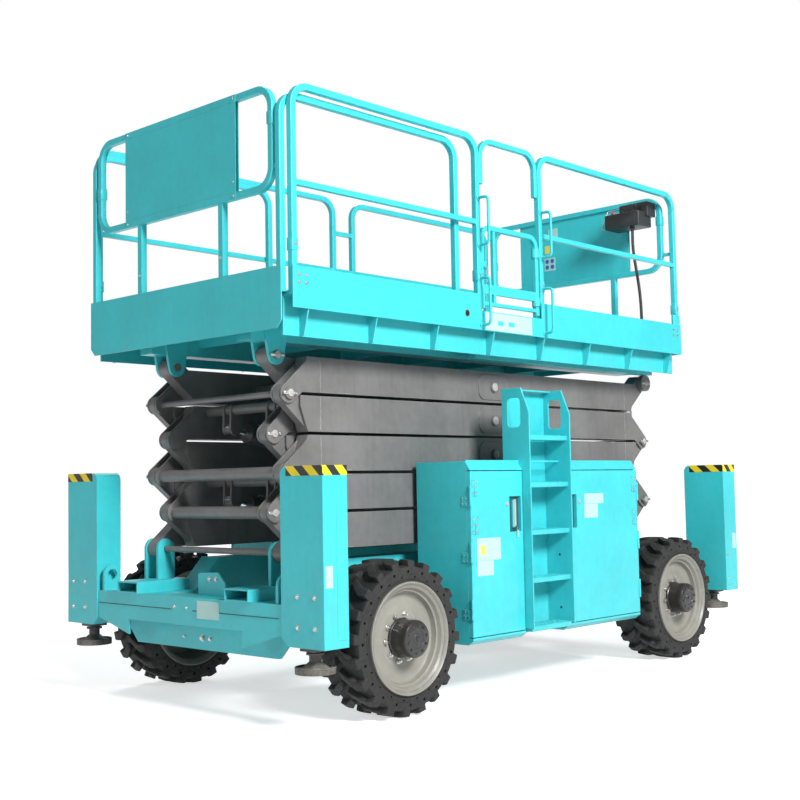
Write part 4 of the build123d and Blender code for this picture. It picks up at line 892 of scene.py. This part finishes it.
def add_latch(door, side, near, middle):
    """A latch's recess floor, a plate of painted shade, with the grip on its two feet, and the lock beside it."""
    face_y = side * CABINET_Y
    floor_y = side * (CABINET_Y - RECESS_DEPTH)
    floor, grip, lock = meshes(3)
    across = (middle - LATCH_HALF, middle + LATCH_HALF)
    # Painted shade of the recess, on a plate laid on its floor.
    add_slab(floor, "y", ((floor_y, floor_y + side * 0.002), across, LATCH_Z), 0.0004)
    finish_piece(floor, f"{door}_latch_recess_shade", door, painted_recess_shade)
    x = middle - 0.008
    for z in (0.982, 1.132):
        spot = aimed((x, floor_y + side * 0.002, z), (0, side, 0))
        add_disc(grip, spot, 0.012, 0.010, 24, 0.002)
        add_disc(grip, raised(spot, 0.010), 0.0055, 0.004, 6, 0.0006)
    thickness = (floor_y + side * 0.010, floor_y + side * 0.016)
    add_slab(grip, "y", (thickness, (x - GRIP_HALF, x + GRIP_HALF), GRIP_Z), 0.0022, 3)
    finish_piece(grip, f"{door}_latch_grip", door, pin_steel)
    spot = aimed((middle + near * 0.082, face_y, LOCK_Z), (0, side, 0))
    add_disc(lock, spot, 0.013, 0.004, 24, 0.001)
    add_disc(lock, raised(spot, 0.004), 0.009, 0.003, 20, 0.0008)
    finish_piece(lock, f"{door}_lock", door, pin_steel)


def add_hinges(door, side, middle):
    """Two hinges on a door's face, each with two leaves, a knuckle and six screws."""
    face_y = side * CABINET_Y
    leaves, screws = meshes(2)
    for z in (0.949, 1.169):
        for shift in (-0.014, 0.014):
            x = middle + shift
            leaf = ((face_y, face_y + side * LEAF_THICKNESS), (x - LEAF_HALF, x + LEAF_HALF), (z, z + HINGE_HEIGHT))
            add_slab(leaves, "y", leaf, 0.0012, 2)
            for height in (0.016, 0.052, 0.088):
                point = (middle + shift * 1.2, face_y + side * LEAF_THICKNESS, z + height)
                add_disc(screws, aimed(point, (0, side, 0)), 0.0062, 0.0026, 12, 0.0006)
        knuckle = Matrix.Translation((middle, face_y + side * 0.004, z))
        add_disc(leaves, knuckle, 0.0052, HINGE_HEIGHT, 16, 0.0008)
    paint_piece(leaves, f"{door}_hinge", door)
    finish_piece(screws, f"{door}_hinge_screws", door, zinc)


def make_door_trim():
    for end_word, end, side_word, side in CORNERS:
        door = f"door_{end_word}_{side_word}"
        low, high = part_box(door)
        latch_edge, hinge_edge = (low.x, high.x) if end > 0 else (high.x, low.x)
        add_latch(door, side, end, latch_edge + end * LATCH_INSET)
        add_hinges(door, side, hinge_edge - end * HINGE_INSET)


def make_key():
    """The key in the front left latch, with its tag."""
    low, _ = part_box("door_front_left")
    x = low.x + LATCH_INSET
    y = CABINET_Y - 0.006
    key, tag = meshes(2)
    add_box(key, (x - 0.0015, y - 0.012, 0.972), (x + 0.0015, y + 0.004, 0.980), 0.0005, 1)
    add_disc(key, aimed((x - 0.0015, y + 0.010, 0.976), (1, 0, 0)), 0.011, 0.003, 20, 0.0008)
    finish_piece(key, "cabinet_key", "door_front_left", zinc)
    add_box(tag, (x - 0.020, y + 0.012, 0.920), (x - 0.006, y + 0.015, 0.962), 0.0022, 2)
    finish_piece(tag, "cabinet_key_tag", "door_front_left", white_plate)


def make_cabinet_labels():
    """Blank plates where the doors carry theirs."""
    front, mark, rear = meshes(3)
    for target, across, up in (
        (front, (0.585, 0.800), (0.797, 0.925)), (front, (0.653, 0.800), (0.709, 0.795)),
        (rear, (-0.490, -0.278), (1.101, 1.165)), (rear, (-0.425, -0.275), (1.010, 1.099)),
    ):
        add_slab(target, "y", ((CABINET_Y - 0.001, CABINET_Y + 0.0009), across, up), 0.0004)
    add_slab(mark, "y", ((CABINET_Y, CABINET_Y + 0.0013), (0.725, 0.772), (0.830, 0.885)), 0.0003)
    finish_piece(front, "front_door_labels", "door_front_left", white_plate)
    finish_piece(mark, "front_door_label_mark", "door_front_left", yellow_plate)
    finish_piece(rear, "rear_door_labels", "door_rear_left", white_plate)


def make_cabinet_trim():
    """Screws in the end hinges and a rain lip over the doors."""
    screws, lips = meshes(2)
    for side in SIDES:
        for end, x in CABINET_ENDS:
            for z in (0.462, 0.781, 1.110):
                for y in (1.022, 1.046):
                    for dz in (0.015, 0.045):
                        spot = aimed((x + end * 0.003, side * y, z + dz), (end, 0, 0))
                        add_disc(screws, spot, 0.0052, 0.0025, 12, 0.0006)
        add_slab(lips, "y", ((side * 1.0445, side * 1.0485), (-0.888, 0.848), (1.366, 1.378)), 0.001)
    finish_piece(screws, "hinge_screws", "chassis", zinc)
    paint_piece(lips, "cabinet_rain_lips", "chassis")


# Ladder

LADDER_PLATE = 0.010
INSIDE_PLATE = LADDER_PLATE + 0.0001
RUNG_COUNT = 5
RUNG_START = 0.382
RUNG_STEP = 0.287
RUNG_HEIGHT = 0.030
STUD_ROWS, STUD_COLUMNS = 3, 8
STUD_START = (0.054, 1.010)
STUD_STEP = (0.045, 0.040)


def make_ladder():
    """Side plates with grip holes, a back plate, studded rungs and a top bar, in place of the source's ladder."""
    low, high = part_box("ladder")
    outline = [
        (low.y, low.z), (high.y, low.z), (high.y, high.z - 0.150), (high.y - 0.060, high.z), (low.y, high.z),
    ]
    plates, holes, bm, hole_shade_discs = meshes(4)
    for x in (low.x, high.x - LADDER_PLATE):
        add_plate(plates, outline, x, x + LADDER_PLATE)
    add_box(holes, (low.x - 0.05, 0.978, 1.578), (high.x + 0.05, 1.076, 1.758), 0.026, 4)
    take_mesh(bm, carved(plates, holes))
    x1, x2 = low.x + INSIDE_PLATE, high.x - INSIDE_PLATE
    add_box(bm, (x1, low.y + 0.001, low.z + 0.002), (x2, low.y + 0.006, high.z - 0.014), 0.001, 1)
    add_box(bm, (x1, low.y + 0.002, high.z - 0.012), (x2, low.y + 0.060, high.z - 0.001), 0.002, 2)
    for number in range(RUNG_COUNT):
        top = RUNG_START + number * RUNG_STEP
        add_box(bm, (x1, 0.985, top - RUNG_HEIGHT), (x2, high.y - 0.022, top), 0.003, 2)
        for row in range(STUD_ROWS):
            for column in range(STUD_COLUMNS):
                stud_x = low.x + STUD_START[0] + column * STUD_STEP[0]
                stud_y = STUD_START[1] + row * STUD_STEP[1]
                add_disc(bm, Matrix.Translation((stud_x, stud_y, top)), 0.009, 0.003, 12, top=0.006)
    piece = paint_piece(bm, "ladder_shape", "chassis", merge=False)
    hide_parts("ladder")
    # Painted shade: two near-black discs on the ladder's side plate where its holes are.
    for z in (0.462, 0.790):
        add_disc(hole_shade_discs, aimed((low.x + 0.0095, 1.041, z), (1, 0, 0)), 0.007, 0.002, 16)
    finish_piece(hole_shade_discs, "ladder_hole_shade", "chassis", painted_hole_shade)


# Scissor arms: pin caps with their straps, welds, and the lift cylinders' feed pipes

MIDDLE_CAP = 0.027
END_CAP = 0.0215
CAP_HEIGHT = 0.0055
STRAP_THICKNESS = 0.0035
WELD_REACH = 1.531
RAY_START_Y = 1.2


def level_z(level):
    return BASE_PIN_Z + (level - 0.5) * PITCH


def arm_slope(level):
    return 1 if level % 2 else -1


def pin_spots(kind, level):
    """An arm's visible pins, each with its x, z, cap radius and whether a strap keeps it."""
    slope = arm_slope(level) if kind == "outer" else -arm_slope(level)
    spots = []
    if kind == "outer":
        spots.append((MID_PIN_X, level_z(level), MIDDLE_CAP, False))
    if level > 1 or kind == "inner":
        spots.append((MID_PIN_X + slope * PIN_REACH, level_z(level) - PITCH / 2, END_CAP, True))
    if level == LEVELS[-1]:
        spots.append((MID_PIN_X - slope * PIN_REACH, level_z(level) + PITCH / 2, END_CAP, True))
    return spots


def make_pin_trim():
    """Pin caps, and keeper straps with two bolts over the pins at the arms' ends."""
    for level in LEVELS:
        for kind in ("outer", "inner"):
            node, body = f"arm_{kind}_{level}", f"{kind}_arm_{level}"
            caps, straps = meshes(2)
            spots = pin_spots(kind, level)
            for side in SIDES:
                for x, z, radius, strapped in spots:
                    y = seat(node, (x + 0.001, side * RAY_START_Y, z + 0.001), (0, -side, 0)).y
                    face = aimed((x, y, z), (0, side, 0))
                    add_disc(caps, face, radius, CAP_HEIGHT, 36, 0.0014)
                    add_disc(caps, raised(face, CAP_HEIGHT), 0.006, 0.002, 12, 0.0006)
                    if strapped:
                        top_y = y + side * STRAP_THICKNESS
                        strap = ((y, top_y), (x - 0.050, x + 0.050), (z - 0.0085, z + 0.0085))
                        add_slab(straps, "y", strap, 0.0012, 2)
                        for sign in SIDES:
                            spot = aimed((x + sign * 0.039, top_y, z), (0, side, 0), 0.4)
                            add_disc(straps, spot, 0.008, 0.005, 6, 0.0008)
            if spots:
                finish_piece(caps, f"{node}_pin_caps", body, pin_steel)
            if any(strapped for _, _, _, strapped in spots):
                finish_piece(straps, f"{node}_pin_straps", body, zinc)


def flat_heights(node, level, x, side):
    """Heights, in steps from the arm's middle, where a straight look from the side meets its flat outer face."""
    heights = []
    for step in range(-30, 31):
        height = step * 0.01
        y = seat(node, (x, side * RAY_START_Y, level_z(level) + height), (0, -side, 0)).y
        if abs(y - side * OUTER_FACE_Y) < 0.001:
            heights.append(height)
    return heights


def make_weld_beads():
    """Welds on the outer arms' faces: an upright one near each end, and a short one along an edge beside it."""
    for level in LEVELS:
        beads = bmesh.new()
        node = f"arm_outer_{level}"
        for side in SIDES:
            y = side * (OUTER_FACE_Y - 0.0005)
            for end in ENDS:
                x = MID_PIN_X + end * WELD_REACH
                heights = flat_heights(node, level, x, side)
                if heights:
                    z1, z2 = level_z(level) + min(heights) + 0.004, level_z(level) + max(heights) - 0.004
                    upright = [(x + 0.0012 * math.sin(n * 1.9), y, z1 + (z2 - z1) * n / 12) for n in range(13)]
                    add_rod(beads, upright, 0.0042, 8)
                    z = z2 if arm_slope(level) * end < 0 else z1
                    add_rod(beads, [(x - end * (0.02 + 0.11 * n), y, z) for n in (1, 2)], 0.0032, 8)
        finish_piece(beads, f"{node}_welds", f"outer_arm_{level}", weld_grey)


def make_cylinder_trim():
    """Ports, clips and the steel feed pipe that runs along each barrel."""
    for word, level in (("lower", 1), ("upper", 3)):
        start = Vector((MID_PIN_X + 0.530, 0, level_z(level) - 0.050))
        run = Vector((MID_PIN_X + 1.500, 0, level_z(level + 1) - 0.045)) - start
        turn = run.to_track_quat("X", "Z").to_matrix().to_4x4()
        end = run.length - 0.120
        pipes, clips = meshes(2)
        for side in SIDES:
            place = Matrix.Translation((start.x, side * 0.200, start.z)) @ turn
            line = [(0.085, 0, 0.050), (0.085, 0, 0.074), (end - 0.075, 0, 0.074), (end - 0.075, 0, 0.056)]
            line = [place @ Vector(p) for p in rounded_runs(line, 0.014)]
            add_rod(pipes, line, 0.006, 10)
            for x in (0.085, end - 0.075):
                add_disc(clips, place @ Matrix.Translation((x, 0, 0.049)), 0.015, 0.014, 6, 0.001)
            for x in (0.25, 0.25 + (end - 0.45)):
                clip = place @ Matrix.Translation((x, 0, 0)) @ Matrix.Rotation(math.pi / 2, 4, "Y")
                add_collar(clips, (0.0522, 0.0555), (-0.011, 0.011), clip, 32)
                add_box(clips, (x - 0.010, -0.012, 0.053), (x + 0.010, 0.012, 0.070), 0.001, 1, place)
        finish_piece(pipes, f"lift_pipes_{word}", f"barrels_{word}", zinc)
        finish_piece(clips, f"lift_clips_{word}", f"barrels_{word}", cylinder_paint)


# Chassis front and rear

BRACKET_OUTLINE = [
    (-0.035, 0.6405), (-0.035, 0.752), (-0.027, 0.764), (0.139, 0.772), (0.207, 0.710), (0.210, 0.6405),
]
BRACKET_X = (1.930, 1.942)


def make_chassis_trim():
    """Bolts, two lengths of painted groove shade along the seam and a bracket on each end beam, and a blank label on
    the front one.
    """
    bolts, groove_shade_strips, label, brackets = meshes(4)
    for end in ENDS:
        face = end * BEAM_FACE_X
        out = (end, 0, 0)
        for y in (-0.073, 0.038):
            add_bolt(bolts, (face, y, 0.583), out, 0.009)
        for y, size in ((-0.009, 0.017), (0.061, 0.013), (-0.18, 0.010)):
            add_bolt(bolts, (end * CARRIER_FACE_X, y, 0.398), out, size)
        for across in ((-0.835, -0.106), (0.089, 0.818)):
            # Painted shade: a thin teal strip in the shade colour where the beam has a groove.
            add_slab(groove_shade_strips, "x", ((face, face + end * 0.0022), across, (0.5655, 0.5705)), 0.0008)
        add_plate(brackets, BRACKET_OUTLINE, *sorted(end * x for x in BRACKET_X), 0.0012)
        for y in (0.070, 0.128):
            add_bolt(bolts, (end * BRACKET_X[1], y, 0.732), out, 0.012)
    face = BEAM_FACE_X + 0.003
    add_slab(label, "x", ((BEAM_FACE_X - 0.001, face), (0.132, 0.327), (0.529, 0.626)), 0.001)
    for y in (0.142, 0.317):
        for z in (0.539, 0.616):
            add_disc(bolts, aimed((face, y, z), (1, 0, 0)), 0.004, 0.002, 10)
    finish_piece(bolts, "chassis_bolts", "chassis", zinc)
    finish_piece(label, "chassis_label", "chassis", white_plate)
    finish_piece(groove_shade_strips, "chassis_groove_shade_strips", "chassis", painted_recess_shade)
    paint_piece(brackets, "chassis_brackets", "chassis")


# Platform: toe boards, posts, end panels, gate, control box and handles

SLEEVE_HALF = 0.0225
SLEEVE_Z = (2.470, 2.540)
SLEEVE_PIN_Z = 2.505
PANEL_HALF = 0.520
PANEL_Z = (2.8035, 3.3795)


def add_sleeve(bm, x, y, up, edge):
    """A square sleeve round an upright tube."""
    add_box(bm, (x - SLEEVE_HALF, y - SLEEVE_HALF, up[0]), (x + SLEEVE_HALF, y + SLEEVE_HALF, up[1]), edge, 2)


def make_platform_trim():
    """Bolts and a hole, drawn as a near-black disc of painted shade inside a ring, in the toe boards, sleeves with
    pins on the posts, and the sill plate under the gate.
    """
    bolts, sleeves, sill, holes, panes = meshes(5)
    for side in SIDES:
        for x in (1.985, -1.715):
            for dx in (-0.026, 0.026):
                for z in (2.305, 2.346):
                    add_bolt(bolts, (x + dx, side * TOE_Y, z), (0, side, 0), 0.0085)
        # Painted shade: a near-black disc where the toe board has a hole, inside a ring.
        hole = aimed((0.664, side * (TOE_Y - 0.0005), 2.262), (0, side, 0))
        add_disc(holes, hole, 0.019, 0.0012, 28)
        add_collar(bolts, (0.018, 0.022), (0.0, 0.003), hole, 28)
        corner_y = (side * (TOE_Y - 0.008), side * TOE_Y)
        add_slab(sleeves, "y", (corner_y, (-1.786, -1.690), (2.388, 2.462)), 0.003, 2)
    for x, side in POSTS:
        y = side * RAIL_Y
        add_sleeve(sleeves, x, y, SLEEVE_Z, 0.004)
        add_bolt(bolts, (x, y + side * SLEEVE_HALF, SLEEVE_PIN_Z), (0, side, 0), 0.0085)
        inner = aimed((x, y - side * SLEEVE_HALF, SLEEVE_PIN_Z), (0, -side, 0))
        add_disc(bolts, inner, 0.0085, 0.008, 6, 0.0008)
    add_slab(sill, "y", ((TOE_Y - 0.001, TOE_Y + 0.003), (0.030, 0.492), (2.174, 2.284)), 0.001, 2)
    for across in ((0.212, 0.272), (0.319, 0.378)):
        add_slab(panes, "y", ((TOE_Y, TOE_Y + 0.0034), across, (2.209, 2.239)), 0.006, 3)
    finish_piece(bolts, "platform_bolts", "platform", zinc)
    paint_piece(sleeves, "post_sleeves", "platform")
    finish_piece(sill, "gate_sill_plate", "platform", white_plate)
    finish_piece(holes, "toe_board_hole_shade", "platform", painted_hole_shade)
    finish_piece(panes, "gate_sill_panes", "platform", turquoise)


def make_end_panels():
    """Each end panel's skin with rolled seams and screws, and a clip on each side of its frame."""
    for name, node, body, out in (("rear", "rear_rail", "platform", -1), ("front", "extension_rails", "extension", 1)):
        low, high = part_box(node)
        face = high.x if out > 0 else low.x
        centre = face - out * TUBE_HALF
        skin, screws, clips = meshes(3)
        add_slab(skin, "x", ((face, face + out * 0.0025), (-PANEL_HALF, PANEL_HALF), PANEL_Z), 0.0009)
        seam = (face + out * 0.0022, face + out * 0.0036)
        for z in (2.845, 3.338):
            for across in ((-0.505, -0.170), (-0.160, 0.150), (0.160, 0.505)):
                add_slab(skin, "x", (seam, across, (z, z + 0.003)), 0.0006)
        for y in (-0.498, 0.498):
            for z in (2.822, 2.90, 3.361):
                add_disc(screws, aimed((face + out * 0.0025, y, z), (out, 0, 0)), 0.0065, 0.003, 12, 0.0008)
        for side, z in ((1, 3.190), (-1, 3.060)):
            add_sleeve(clips, centre, side * END_FRAME_Y, (z - 0.035, z + 0.035), 0.003)
        for y in (-0.380, 0.380):
            add_bolt(screws, (centre + out * TUBE_HALF, y, 2.500), (out, 0, 0), 0.008)
        paint_piece(skin, f"{name}_panel_skin", body)
        finish_piece(screws, f"{name}_panel_screws", body, zinc)
        paint_piece(clips, f"{name}_frame_clips", body)


def make_panel_labels():
    """Blank labels on the rear panel's inner face, one with four plain blue discs."""
    low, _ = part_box("rear_rail")
    face = (low.x + TUBE_HALF) + 0.002
    thickness = (face - 0.0005, face + 0.0012)
    for word, finish, across, up in (
        ("white", white_plate, (-0.280, -0.172), (2.949, 3.054)),
        ("yellow", yellow_plate, (-0.272, -0.204), (3.090, 3.157)),
        ("upper", white_plate, (-0.234, -0.142), (3.208, 3.288)),
    ):
        blank = bmesh.new()
        add_slab(blank, "x", (thickness, across, up), 0.0004)
        finish_piece(blank, f"rear_panel_{word}_label", "platform", finish)
    discs = bmesh.new()
    for y in (-0.252, -0.201):
        for z in (2.980, 3.027):
            add_disc(discs, aimed((thickness[1], y, z), (1, 0, 0)), 0.0175, 0.0005, 28)
    finish_piece(discs, "rear_panel_label_discs", "platform", blue_plate)


def make_gate_trim():
    """The gate's latch with its bent handle, and its hinge pins."""
    low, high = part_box("gate")
    latch, steel = meshes(2)
    x, y, z = high.x, RAIL_Y, 2.560
    add_box(latch, (x - 0.045, y - 0.020, z - 0.040), (x + 0.001, y + 0.020, z + 0.040), 0.003, 2)
    add_disc(latch, aimed((x - 0.022, y + 0.020, z), (0, 1, 0)), 0.011, 0.014, 20, 0.002)
    handle = [(x - 0.022, y + 0.030, z), (x - 0.022, y + 0.042, z), (x - 0.022, y + 0.042, 2.470)]
    add_rod(steel, rounded_runs(handle, 0.008), 0.005, 10)
    for pin_z in (2.400, 2.715):
        add_disc(steel, Matrix.Translation((low.x + 0.008, y, pin_z + 0.030)), 0.006, 0.012, 12, 0.001)
    paint_piece(latch, "gate_latch", "gate")
    finish_piece(steel, "gate_latch_steel", "gate", zinc)


KNOB_OUTLINE = [
    (0.0, 0.0), (0.030, 0.0), (0.028, 0.006), (0.020, 0.010), (0.012, 0.018), (0.010, 0.034), (0.015, 0.042),
    (0.016, 0.054), (0.011, 0.062), (0.0, 0.064),
]
GLAND_OUTLINE = [
    (0.011, -0.014), (0.019, -0.014), (0.019, 0.0), (0.015, 0.004), (0.011, 0.004), (0.011, -0.014),
]
LEDGE = 0.112


def make_control_box():
    """The operator's box: a rear case, a lower front case with its switches on the ledge, and a wire guard."""
    low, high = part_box("control_box")
    case, knobs, red, green, steel = meshes(5)
    add_box(case, (low.x, low.y + 0.070, low.z + 0.080), (low.x + 0.115, high.y, high.z), 0.008, 3)
    add_box(case, (low.x + 0.030, low.y, low.z), (high.x, high.y - 0.020, low.z + LEDGE), 0.009, 3)
    panel_y, panel_z = (low.y + 0.03, high.y - 0.05), (low.z + 0.022, low.z + 0.094)
    add_slab(case, "x", ((high.x - 0.004, high.x + 0.002), panel_y, panel_z), 0.003, 2)
    piece = finish_piece(case, "control_case", "platform", black_plastic, merge=False)
    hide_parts("control_box")
    top = Vector((low.x + 0.160, (low.y + high.y) / 2, low.z + LEDGE))
    for offset, target, radius, height in (
        (-0.110, red, 0.019, 0.018), (-0.060, green, 0.010, 0.009), (-0.025, knobs, 0.009, 0.014),
        (0.010, knobs, 0.009, 0.014),
    ):
        spot = Matrix.Translation(top + Vector((0, offset, 0)))
        add_disc(knobs, spot, radius + 0.005, 0.003, 28, 0.001)
        add_disc(target, raised(spot, 0.003), radius, height, 28, 0.003)
    add_spin(knobs, KNOB_OUTLINE, Matrix.Translation(top + Vector((0, 0.080, 0))), 28)
    wire = [
        (low.x + 0.090, low.y + 0.080, high.z - 0.020), (low.x + 0.090, low.y - 0.045, high.z - 0.020),
        (high.x - 0.030, low.y - 0.045, low.z + 0.012), (high.x - 0.030, low.y + 0.012, low.z + 0.012),
    ]
    add_rod(steel, rounded_runs(wire, 0.018), 0.0042, 10)
    for y in (low.y + 0.11, high.y - 0.05):
        hook_z = (high.z - 0.075, high.z - 0.004)
        add_slab(steel, "x", ((low.x - 0.004, low.x + 0.004), (y - 0.018, y + 0.018), hook_z), 0.001)
    gland = (*CABLE_ROUTE[0][:2], low.z - 0.004)
    add_spin(knobs, GLAND_OUTLINE, Matrix.Translation(gland), 24)
    finish_piece(knobs, "control_knobs", "platform", cable_rubber)
    finish_piece(red, "control_stop_button", "platform", red_plastic)
    finish_piece(green, "control_green_button", "platform", green_plastic)
    finish_piece(steel, "control_wire", "platform", zinc)


def make_grips():
    """Flanges where the grab handles meet their posts."""
    flanges = bmesh.new()
    rail_face = RAIL_Y + TUBE_HALF
    for x in GATE_POSTS:
        for z, y in ((2.692, rail_face), (2.985, rail_face), (2.488, rail_face), (2.200, TOE_Y)):
            add_disc(flanges, aimed((x, y, z), (0, 1, 0)), 0.017, 0.006, 20, 0.0015)
    paint_piece(flanges, "handle_flanges", "platform")


# Finishes of the CAD nodes

NODE_FINISHES = (
    (turquoise, ["chassis_frame", "outrigger_housings", "cabinet_left", "cabinet_right", "ladder", "toe_boards",
                 "guard_rail_left", "guard_rail_right", "rear_rail", "extension_rails", "gate"]),
    (turquoise, [f"door_{e}_{s}" for e, _, s, _ in CORNERS]),
    (deck_turquoise, ["platform_deck", "extension_deck"]),
    (axle_paint, ["front_axle", "rear_axle", "knuckle_left", "knuckle_right"]),
    (cylinder_paint, ["lift_barrels_lower", "lift_barrels_upper"]),
    (chrome, ["lift_rods_lower", "lift_rods_upper"]),
    (engine_grey, ["engine_block"]),
    (leg_paint, [f"outrigger_leg_{e}_{s}" for e, _, s, _ in CORNERS]),
    (arm_grey, [f"arm_{kind}_{level}" for kind in ("outer", "inner") for level in LEVELS]),
)


def dress_nodes():
    for finish, names in NODE_FINISHES:
        for name in names:
            materials = nodes[name].data.materials
            materials.clear()
            materials.append(finish)


# Floor, backdrop and light

def pale_surface(name, strength):
    """A pale floor that glows white for the camera, more so far away, and keeps the object's shadow."""
    finish = bpy.data.materials.new(name)
    finish.use_nodes = True
    net = Net(finish.node_tree)
    net.shade("Roughness", 0.9)
    net.shade("Base Color", (0.80, 0.80, 0.80, 1))
    net.shade("Specular IOR Level", 0.1)
    away = net.add("VectorMath", operation="LENGTH")
    net.feed(away.inputs[0], net.add("TexCoord").outputs["Object"])
    glow = net.add("Emission")
    net.feed(glow.inputs["Strength"], net.ramp(away.outputs["Value"], 3.0, 9.0, strength, 1.0))
    rays = net.add("LightPath").outputs
    plain = net.shader.outputs[0]
    both, choice = net.add("AddShader"), net.add("MixShader")
    net.feed(both.inputs[0], plain)
    net.feed(both.inputs[1], glow.outputs[0])
    net.feed(choice.inputs[0], net.math("MAXIMUM", rays["Is Camera Ray"], rays["Is Glossy Ray"], True))
    net.feed(choice.inputs[1], plain)
    net.feed(choice.inputs[2], both.outputs[0])
    net.feed(net.tree.nodes["Material Output"].inputs["Surface"], choice.outputs[0])
    return finish


def add_lamp(name, point, size, power):
    """A square soft lamp that looks at the machine's middle."""
    data = bpy.data.lights.new(name, "AREA")
    data.size = size
    data.energy = power
    lamp = bpy.data.objects.new(name, data)
    lamp.matrix_world = aimed(point, Vector(point) - Vector((0, 0, LAMP_AIM_DROP)))
    scene.collection.objects.link(lamp)


def make_stage():
    mesh = bpy.data.meshes.new("floor")
    bm = bmesh.new()
    bmesh.ops.create_grid(bm, x_segments=2, y_segments=2, size=60)
    bm.to_mesh(mesh)
    bm.free()
    mesh.materials.append(pale_surface("pale_floor", FLOOR_GLOW))
    floor = bpy.data.objects.new("floor", mesh)
    scene.collection.objects.link(floor)

    world = bpy.data.worlds.new("studio")
    scene.world = world
    world.use_nodes = True
    net = Net(world.node_tree)
    background = net.tree.nodes["Background"]
    background.inputs["Color"].default_value = (1, 1, 1, 1)
    rays = net.add("LightPath").outputs
    seen = net.math("MAXIMUM", rays["Is Camera Ray"], rays["Is Transmission Ray"], True)
    shown = net.product(seen, 1.0 - WORLD_LEVEL)
    gloss = net.product(rays["Is Glossy Ray"], GLOSS_LEVEL - WORLD_LEVEL)
    net.feed(background.inputs["Strength"], net.total(net.total(shown, gloss), WORLD_LEVEL))
    for lamp in LAMPS:
        add_lamp(*lamp)


dress_nodes()
make_wheels()
make_outrigger_trim()
make_foot_pads()
make_door_trim()
make_key()
make_cabinet_labels()
make_cabinet_trim()
make_ladder()
make_pin_trim()
make_weld_beads()
make_cylinder_trim()
make_chassis_trim()
make_platform_trim()
make_end_panels()
make_panel_labels()
make_gate_trim()
make_control_box()
make_grips()
make_stage()
scene.view_settings.view_transform = "Standard"
